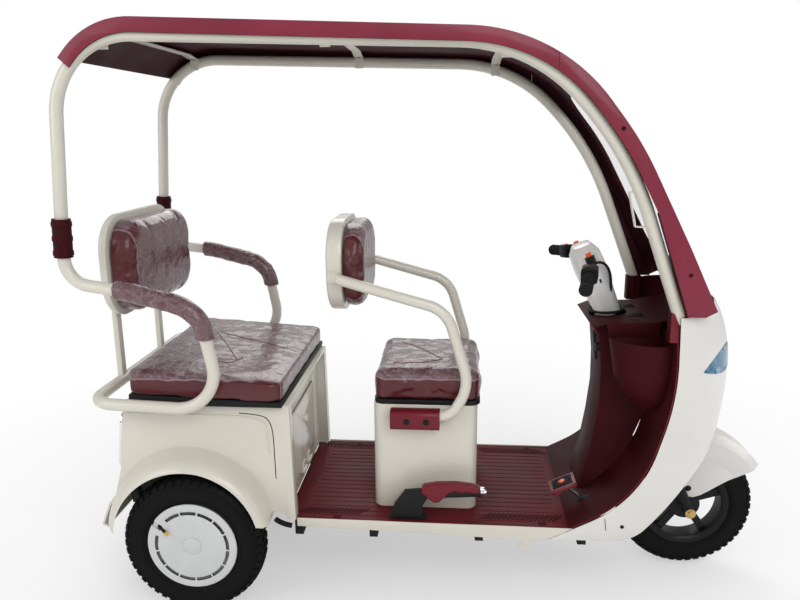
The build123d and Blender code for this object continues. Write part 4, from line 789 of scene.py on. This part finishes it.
for name, centre, width in tyre_table:
    bpy.ops.mesh.primitive_torus_add(
        major_segments=tread_steps, minor_segments=24, major_radius=section_middle,
        minor_radius=section_radius, generate_uvs=False,
    )
    tyre = bpy.context.object
    for point in tyre.data.vertices:
        ring = math.hypot(point.co.x, point.co.y)
        angle = math.atan2(point.co.z, ring - section_middle)
        wanted = section_middle + section_radius * fuller(math.cos(angle))
        point.co.x *= wanted / ring
        point.co.y *= wanted / ring
        point.co.z = width / 2 * fuller(math.sin(angle))

    def on_block(place, normal):
        """Two steps of three carry a block, shifted on one shoulder."""
        share = place.z / (width / 2)
        step = int((math.degrees(math.atan2(place.y, place.x)) % 360) * tread_steps / 360)
        if math.hypot(place.x, place.y) < tread_least_radius:
            return False
        if abs(share) < crown_end:
            return (step + 1) % 3 != 0
        if shoulder_start < abs(share) < shoulder_end:
            return (step + (0 if share > 0 else 2)) % 3 != 0
        return False

    open_mesh(tyre)
    pick_faces(on_block)
    bpy.ops.mesh.inset(thickness=block_gap, depth=0)
    bpy.ops.mesh.extrude_region()
    move_picked(lambda place: from_section(place) * tread_height)
    close_mesh()
    ribs = [tyre]
    for ring in rib_rings:
        offset = (ring - section_middle) / section_radius
        across = abs(math.sin(math.acos(math.copysign(abs(offset) ** (1 / section_power), offset))))
        for side, _ in sides:
            bpy.ops.mesh.primitive_torus_add(
                major_segments=96, minor_segments=8, major_radius=ring, minor_radius=rib_radius,
                location=(0, 0, side * width / 2 * fuller(across)), generate_uvs=False,
            )
            rib = bpy.context.object
            bpy.ops.object.transform_apply(location=True, rotation=False, scale=False)
            ribs.append(rib)
    tyre = joined(ribs)
    tyre.data.transform(turned(centre, (0, 1, 0)))
    settle(tyre, name + "_tread", body_of_node[name], tyre_rubber, 30)
    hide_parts(name)

# Every other node keeps its form, with its edges softened
plain_finish = {
    "roof_panel": canopy_maroon, "windscreen_surround": canopy_maroon, "arm_sockets": bright_maroon,
}
common_edge = 0.0012
edge_of = {"headlamp_lenses": 0.0, "windscreen": 0.0, "headlamp_housings": 0.0005, "headset_cover": 0.004}
shells = {}
for name in nodes:
    if name in cushions or name.startswith("tyre"):
        continue
    shells[name] = dressed(name, edge_of.get(name, common_edge), plain_finish.get(name))

# Undersides and insides painted darker as painted shade, slots in the rear covers, the leg shield's wings,
# the brake's end
slot_ring, slot_planes = (0.1025, 0.1135), (0.3765, 0.3838)
wing_start, wing_top, brake_end_x = 0.28, 0.93, 0.1505
# Undersides and insides of the roof and surround: partly their own darker colour, partly painted shade
for name in ("roof_panel", "windscreen_surround"):
    paint(shells[name], underside_shade_maroon, lambda place, normal: (
        normal.z < -0.2 or normal.x < -0.5 and place.x > 0.3 or place.y * normal.y < -0.1))
# The apron's inner faces behind its top are painted dark maroon as painted shade
paint(shells["front_apron"], dark_maroon, lambda place, normal: (
    place.z > 0.33 and (
        normal.x < -0.6 and place.x > 0.62 or place.y * normal.y < -0.15 and abs(normal.y) > 0.7)))
for name in ("wheel_disc_rear_right", "wheel_disc_rear_left"):
    paint(shells[name], black_plastic, lambda place, normal: (
        slot_ring[0] < math.hypot(place.x - rear_axle_x, place.z - axle_height) < slot_ring[1]
        and slot_planes[0] < abs(place.y) < slot_planes[1]))
paint(shells["leg_shield"], bright_maroon, lambda place, normal: (
    abs(place.y) > wing_start and place.z < wing_top))
paint(shells["parking_brake"], chrome, lambda place, normal: place.x > brake_end_x)

# Fixings, modelled once a kind and set on the surfaces that they hold
bolt_shape = joined([capped_round(0.0062, 0.004, 0.0008, 6), capped_round(0.0095, 0.0016, 0.0004, 24)])
screw_shape = capped_round(0.0055, 0.0016, 0.0006, 24, recess=0.0016)
ring_shape = capped_round(0.028, 0.0014, 0.0014, 48)
fixing_table = [
    # shape, node, finish, scale, and the name, x and z of each one on a side
    (ring_shape, "wheel_disc_rear_{}", cover_grey, 1, [("cover_boss", rear_axle_x, axle_height)]),
    (bolt_shape, "fork", gold_nut, 1.7, [("axle_nut", front_axle_x, axle_height)]),
    (screw_shape, "front_apron", black_plastic, 1, [("apron_bolt", 0.562, 0.276)]),
    (bolt_shape, "arm_sockets", black_plastic, 1,
     [("socket_bolt_rear", -0.073, 0.566), ("socket_bolt_front", -0.014, 0.566)]),
    (screw_shape, "canopy_collars", black_plastic, 0.8,
     [("collar_screw_high", -1.0095, 1.150), ("collar_screw_low", -1.0115, 1.110)]),
    (screw_shape, "windscreen_surround", dark_maroon, 1,
     [("surround_screw_high", 0.487, 1.410), ("surround_screw_low", 0.690, 1.030)]),
]
for shape, node_form, material, size, row in fixing_table:
    for side, label in sides:
        node = node_form.format(label)
        for name, x, z in row:
            place, normal = surface_of(node, (x, side, z), (0, -side, 0))
            side_axis = (1, 0, 0) if abs(normal.x) < 0.9 else (0, 0, 1)
            piece = copied(shape, turned(place, normal, side_axis) @ Matrix.Diagonal((size, size, size, 1)))
            settle(piece, f"{name}_{label}", body_of_node[node], material)

# Ears of the front mudguard, each held by a bolt above the axle
ear_outline = [
    (0.791, 0.291), (0.797, 0.272), (0.813, 0.260), (0.836, 0.257), (0.858, 0.265), (0.882, 0.280),
    (0.914, 0.302), (0.950, 0.325), (0.950, 0.345), (0.900, 0.375), (0.830, 0.388), (0.793, 0.384),
]
ear_plane, ear_thickness, ear_edge, ear_bolt = 0.0605, 0.0025, 0.001, (0.818, 0.0630, 0.288)
for side, label in sides:
    outline = [(x, side * ear_plane, z) for x, z in ear_outline]
    ear = plate_of(outline, (0, side * ear_thickness, 0), f"guard_ear_{label}", ear_edge)
    settle(ear, f"guard_ear_{label}", "steering", offwhite)
    bolt = copied(bolt_shape, turned((ear_bolt[0], side * ear_bolt[1], ear_bolt[2]), (0, side, 0)))
    settle(bolt, f"guard_bolt_{label}", "steering", black_plastic)

# Valves at the notch of each rear cover
notch_angle, notch_radius, valve_plane, valve_radius = math.radians(148), 0.117, 0.378, 0.0042
valve_inward, valve_outward, valve_end = 0.018, 0.008, 0.012
for side, label in sides:
    body = f"wheel_rear_{label}"
    outward = Vector((math.cos(notch_angle), 0, math.sin(notch_angle)))
    foot = Vector((rear_axle_x, side * valve_plane, axle_height)) + outward * notch_radius
    tip = foot - outward * valve_inward + Vector((0, side * valve_outward, 0))
    stem_end = tip + (tip - foot).normalized() * valve_end
    stem = bent_tube([foot, tip, stem_end], valve_radius)
    settle(stem, f"valve_stem_{label}", body, black_rubber)
    cap = copied(capped_round(0.0046, 0.010, 0.0012, 12), turned(stem_end, tip - foot, (0, 1, 0)))
    settle(cap, f"valve_cap_{label}", body, yellow_cap)

# Grip patches and screw hollows on the floor
rib_shape = rounded_block((0.050, 0.0042, 0.0018), 0.0008, 2)
rib_slant, rib_pitch, rib_height = math.radians(48), 0.0135, 0.2595
patch_table = [
    # name, first x, y, count, slant
    ("grip_rear_right", -0.398, -0.226, 15, 1),
    ("grip_front_right", 0.168, -0.226, 17, 1),
    ("grip_rear_left", -0.398, 0.250, 15, -1),
    ("grip_front_left", 0.168, 0.240, 17, -1),
]
for name, first_x, patch_y, count, slant in patch_table:
    slanted = Matrix.Rotation(rib_slant * slant, 4, "Z")
    ribs = [
        copied(rib_shape, Matrix.Translation((first_x + rib_pitch * number, patch_y, rib_height)) @ slanted)
        for number in range(count)
    ]
    settle(joined(ribs), name, "chassis", dark_maroon)
hollow_shape = capped_round(0.013, 0.0008, 0.0006, 24, recess=0.0006)
hollow_y, hollow_z, hollow_squeeze = 0.262, 0.2591, 0.6
for side, side_label in sides:
    for label, hollow_x in (("rear", -0.285), ("front", 0.335)):
        moved = Matrix.Translation((hollow_x, side * hollow_y, hollow_z))
        hollow = copied(hollow_shape, moved @ Matrix.Diagonal((1, hollow_squeeze, 1, 1)))
        settle(hollow, f"floor_screw_{label}_{side_label}", "chassis", dark_maroon)

# Grips: fine ribs round the rubber, a flange at the inner end and a cap at the outer end
bpy.ops.mesh.primitive_torus_add(
    major_segments=32, minor_segments=8, major_radius=0.0170, minor_radius=0.0012, generate_uvs=False,
)
grip_ring = bpy.context.object
grip_flange = capped_round(0.0215, 0.004, 0.0012, 32)
grip_end = capped_round(0.0185, 0.005, 0.0016, 32)
first_ring, ring_pitch, ring_count = 0.006, 0.0074, 13
flange_from_end, cap_from_end, switch_from_end = 0.103, 0.0005, 0.132
housing_up = Vector((-0.4003, 0, 0.9164))
switch_rise, plug_rise, clamp_rise = 0.0235, 0.0255, 0.004
for side, label in sides:
    bar_end = Vector((0.4147, side * 0.330, 0.9934))
    boss_foot = Vector((0.4685, side * 0.112, 1.0225))
    inward = (Vector((0.4737, side * 0.090, 1.0254)) - bar_end).normalized()
    rings = [
        copied(grip_ring, turned(bar_end + inward * (first_ring + ring_pitch * number), inward))
        for number in range(ring_count)
    ]
    rings.append(copied(grip_flange, turned(bar_end + inward * flange_from_end, inward)))
    rings.append(copied(grip_end, turned(bar_end - inward * cap_from_end, -inward)))
    settle(joined(rings), f"grip_ribs_{label}", "steering", black_rubber)
    # Switch on the housing, orange plug in the mirror boss and the clamp round its foot
    switch_foot = bar_end + inward * switch_from_end + housing_up * switch_rise
    switch_finish = orange_cap if side > 0 else black_plastic
    rocker = copied(rounded_block((0.016, 0.010, 0.006), 0.0018), turned(switch_foot, housing_up, inward))
    settle(rocker, f"switch_rocker_{label}", "steering", switch_finish)
    plug_foot, clamp_foot = (boss_foot + housing_up * rise for rise in (plug_rise, clamp_rise))
    plug = copied(capped_round(0.0085, 0.011, 0.002, 24), turned(plug_foot, housing_up))
    settle(plug, f"mirror_plug_{label}", "steering", orange_cap)
    clamp_band = copied(capped_round(0.0145, 0.020, 0.002, 24), turned(clamp_foot, housing_up))
    settle(clamp_band, f"mirror_clamp_{label}", "steering", black_plastic)

# Loom from the right-hand control down the front of the headset cover, and the slot in the cover's side
loom_radius = 0.0042
loom_points = [
    (0.452, -0.150, 1.018), (0.480, -0.120, 1.034), (0.515, -0.085, 1.018), (0.533, -0.064, 0.985),
    (0.540, -0.050, 0.945), (0.540, -0.040, 0.905), (0.528, -0.034, 0.870),
]
settle(bent_tube(loom_points, loom_radius), "control_loom", "steering", black_rubber)
place, normal = surface_of("headset_cover", (0.506, -0.5, 0.962), (0, 1, 0))
slot_mark = copied(rounded_block((0.013, 0.006, 0.002), 0.0009), turned(place, normal, (-0.4, 0, 0.92)))
settle(slot_mark, "cover_slot", "steering", black_plastic)

# Steering gaiter, key lock and black socket on the column, and the vents in the dash
bpy.ops.mesh.primitive_torus_add(
    major_segments=48, minor_segments=12, major_radius=0.051, minor_radius=0.0045, generate_uvs=False,
)
gaiter = bpy.context.object
gaiter.data.transform(turned(Vector((0.5395, 0, 0.861)), (-0.06, 0, 1)))
settle(gaiter, "column_gaiter", "chassis", black_rubber)
place, normal = surface_of("leg_shield", (0.3, -0.066, 0.758), (1, 0, 0))
key_lock = copied(capped_round(0.0135, 0.010, 0.002, 32, recess=0.003), turned(place, normal))
settle(key_lock, "key_lock", "chassis", black_plastic)
place, normal = surface_of("leg_shield", (0.3, 0.0, 0.742), (1, 0, 0))
socket = copied(rounded_block((0.085, 0.040, 0.014), 0.004), turned(place, normal, (0, 0, 1)))
settle(socket, "charge_socket", "chassis", black_plastic)
vent_x, vent_z, first_vent, vent_pitch = 0.612, 0.8576, 0.045, 0.013
for side, label in sides:
    vents = [
        copied(rounded_block((0.052, 0.007, 0.0016), 0.0006, 2), turned(
            (vent_x, side * (first_vent + vent_pitch * number), vent_z), (-0.04, 0, 1)))
        for number in range(3)
    ]
    settle(joined(vents), f"dash_vents_{label}", "chassis", black_plastic)

# Pedal: maroon frame, knobbed black rubber and an orange disc; slot where its arm meets the floor
pad_place, pad_up = Vector((0.4058, -0.152, 0.3408)), Vector((-0.48, 0, 1)).normalized()
rubber_rise, knob_rise, disc_rise, skirt_drop = 0.0028, 0.0042, 0.004, 0.006
frame_block = rounded_block((0.083, 0.073, 0.004), 0.0016)
settle(copied(frame_block, turned(pad_place, pad_up)), "pedal_frame", "chassis", bright_maroon)
rubber = rounded_block((0.064, 0.054, 0.003), 0.0012)
settle(copied(rubber, turned(pad_place + pad_up * rubber_rise, pad_up)), "pedal_rubber", "chassis",
       black_rubber)
knob_shape = capped_round(0.0032, 0.0016, 0.0008, 12)
knob_count, knob_reach = 14, (0.025, 0.020)
knobs = []
for number in range(knob_count):
    angle = math.radians(360 / knob_count * number)
    round_disc = Matrix.Translation((knob_reach[0] * math.cos(angle), knob_reach[1] * math.sin(angle), 0))
    knobs.append(copied(knob_shape, turned(pad_place + pad_up * knob_rise, pad_up) @ round_disc))
settle(joined(knobs), "pedal_knobs", "chassis", black_rubber)
disc = copied(capped_round(0.0105, 0.0022, 0.0012, 32), turned(pad_place + pad_up * disc_rise, pad_up))
settle(disc, "pedal_disc", "chassis", orange_cap)
skirt = copied(rounded_block((0.083, 0.073, 0.011), 0.003), turned(pad_place - pad_up * skirt_drop, pad_up))
settle(skirt, "pedal_skirt", "chassis", bright_maroon)
place, normal = surface_of("leg_shield", (0.470, -0.152, 0.5), (0, 0, -1))
pedal_slot = copied(rounded_block((0.058, 0.020, 0.003), 0.0012), turned(place, normal))
settle(pedal_slot, "pedal_slot", "chassis", black_rubber)

# Parking brake handle: a deep grip with finger waves, on the ratchet, and its button
handle_outline = [
    (-0.030, 0.345), (-0.024, 0.3665), (0.020, 0.3755), (0.077, 0.378), (0.120, 0.3735), (0.150, 0.3665),
    (0.1505, 0.3475), (0.128, 0.346), (0.108, 0.3505), (0.090, 0.347), (0.072, 0.352), (0.056, 0.344),
    (0.040, 0.328), (0.026, 0.314), (0.010, 0.312),
]
handle_plane, handle_width, handle_edge = -0.2585, 0.027, 0.006
outline = [(x, handle_plane, z) for x, z in handle_outline]
handle = plate_of(outline, (0, handle_width, 0), "brake_handle", handle_edge)
settle(handle, "brake_handle", "chassis", bright_maroon, 50)
button = copied(
    capped_round(0.0075, 0.012, 0.002, 24), turned((0.149, -0.245, 0.357), (1, 0, -0.05), (0, 0, 1)),
)
settle(button, "brake_button", "chassis", chrome)

# Seam and bead on the rear body's sides, and the seam behind the apron's edge
seam_plane = 0.3002
body_lines = [
    # name, radius, finish, and points as x and z
    ("body_seam", 0.0013, black_plastic, [
        (-0.560, 0.606), (-0.492, 0.603), (-0.470, 0.584), (-0.461, 0.549), (-0.460, 0.470), (-0.459, 0.400),
    ]),
    ("body_bead", 0.0030, cream, [
        (-0.905, 0.598), (-0.70, 0.598), (-0.545, 0.597), (-0.492, 0.588), (-0.478, 0.560), (-0.475, 0.480),
    ]),
]
apron_line, apron_seam_radius = [(0.5115, 0.300), (0.5135, 0.280), (0.517, 0.262)], 0.0011
for side, label in sides:
    for name, radius, material, row in body_lines:
        line = bent_tube([(x, side * seam_plane, z) for x, z in row], radius)
        settle(line, f"{name}_{label}", "chassis", material)
    apron_seam = [surface_of("front_apron", (x, side, z), (0, -side, 0))[0] for x, z in apron_line]
    line = bent_tube(apron_seam, apron_seam_radius)
    settle(line, f"apron_seam_{label}", "chassis", black_plastic)

# Cheeks that close the wedge between each canopy tube and the windscreen surround
cheek_outline = [
    # x, distance from the middle plane, z
    (0.694, 0.3037, 0.913), (0.742, 0.3037, 0.913), (0.600, 0.3187, 1.195), (0.592, 0.3187, 1.195),
]
cheek_depth, cheek_edge = 0.018, 0.0015
for side, label in sides:
    outline = [(x, side * out_y, z) for x, out_y, z in cheek_outline]
    cheek = plate_of(outline, (0, -side * cheek_depth, 0), f"surround_cheek_{label}", cheek_edge)
    settle(cheek, f"surround_cheek_{label}", "chassis", canopy_maroon)
    # Inward and rear faces of each cheek take the darker underside maroon as painted shade
    paint(cheek, underside_shade_maroon, lambda place, normal: normal.y * place.y < 0 or normal.x < -0.5)

# Clips and rubber stops along the windscreen's edges
clip_shape = rounded_block((0.030, 0.012, 0.010), 0.003)
stop_shape = rounded_block((0.020, 0.016, 0.014), 0.004)
clip_y, stop_y, stop_z, clip_rise, stop_sink = 0.262, 0.240, 0.985, 0.003, 0.001
for side, label in sides:
    for number, (clip_x, clip_z) in enumerate(((0.375, 1.585), (0.402, 1.553))):
        start = (clip_x + 0.6, side * clip_y, clip_z + 0.42)
        place, normal = surface_of("windscreen_surround", start, (-0.82, 0, -0.573))
        clip = copied(clip_shape, turned(place + normal * clip_rise, normal))
        settle(clip, f"screen_clip_{label}_{number}", "chassis", black_plastic)
    place, normal = surface_of("windscreen_surround", (1.6, side * stop_y, stop_z), (-1, 0, 0))
    stop = copied(stop_shape, turned(place - normal * stop_sink, normal, (0, 0, 1)))
    settle(stop, f"screen_stop_{label}", "chassis", black_rubber)

# Bolts under the canopy's cross straps, and the plates that they hang on
strap_table = [
    # x, underside height of the foot, half span
    (-0.850, 1.6555, 0.350), (-0.269, 1.6535, 0.341), (0.193, 1.6225, 0.330),
]
bolt_inset, plate_inset, plate_drop = 0.030, 0.0185, 0.016
for number, (strap_x, under_z, half_span) in enumerate(strap_table):
    for side, label in sides:
        bolt_place = (strap_x, side * (half_span - bolt_inset), under_z)
        bolt = copied(bolt_shape, turned(bolt_place, (0, 0, -1)))
        settle(bolt, f"strap_bolt_{number}_{label}", "chassis", steel)
        plate_place = (strap_x, side * (half_span - plate_inset), under_z - plate_drop)
        plate = copied(rounded_block((0.028, 0.003, 0.040), 0.0012, 2), Matrix.Translation(plate_place))
        settle(plate, f"strap_plate_{number}_{label}", "chassis", cream)

# Rubber liners in the rear arches
liner_line, liner_radius = [(-0.470, 0.292, 0.262), (-0.452, 0.292, 0.246), (-0.420, 0.290, 0.240)], 0.008
for side, label in sides:
    liner = bent_tube([(x, side * y, z) for x, y, z in liner_line], liner_radius)
    settle(liner, f"arch_liner_{label}", "chassis", black_rubber)

for shape in (bolt_shape, screw_shape, ring_shape, rib_shape, hollow_shape, grip_ring, grip_flange, grip_end,
              frame_block, rubber, knob_shape, clip_shape, stop_shape):
    bpy.data.objects.remove(shape)
for piece in [item for item in scene.objects if item.type == "MESH" and item.parent is None]:
    if piece is not floor and piece.name not in nodes:
        bpy.data.objects.remove(piece)
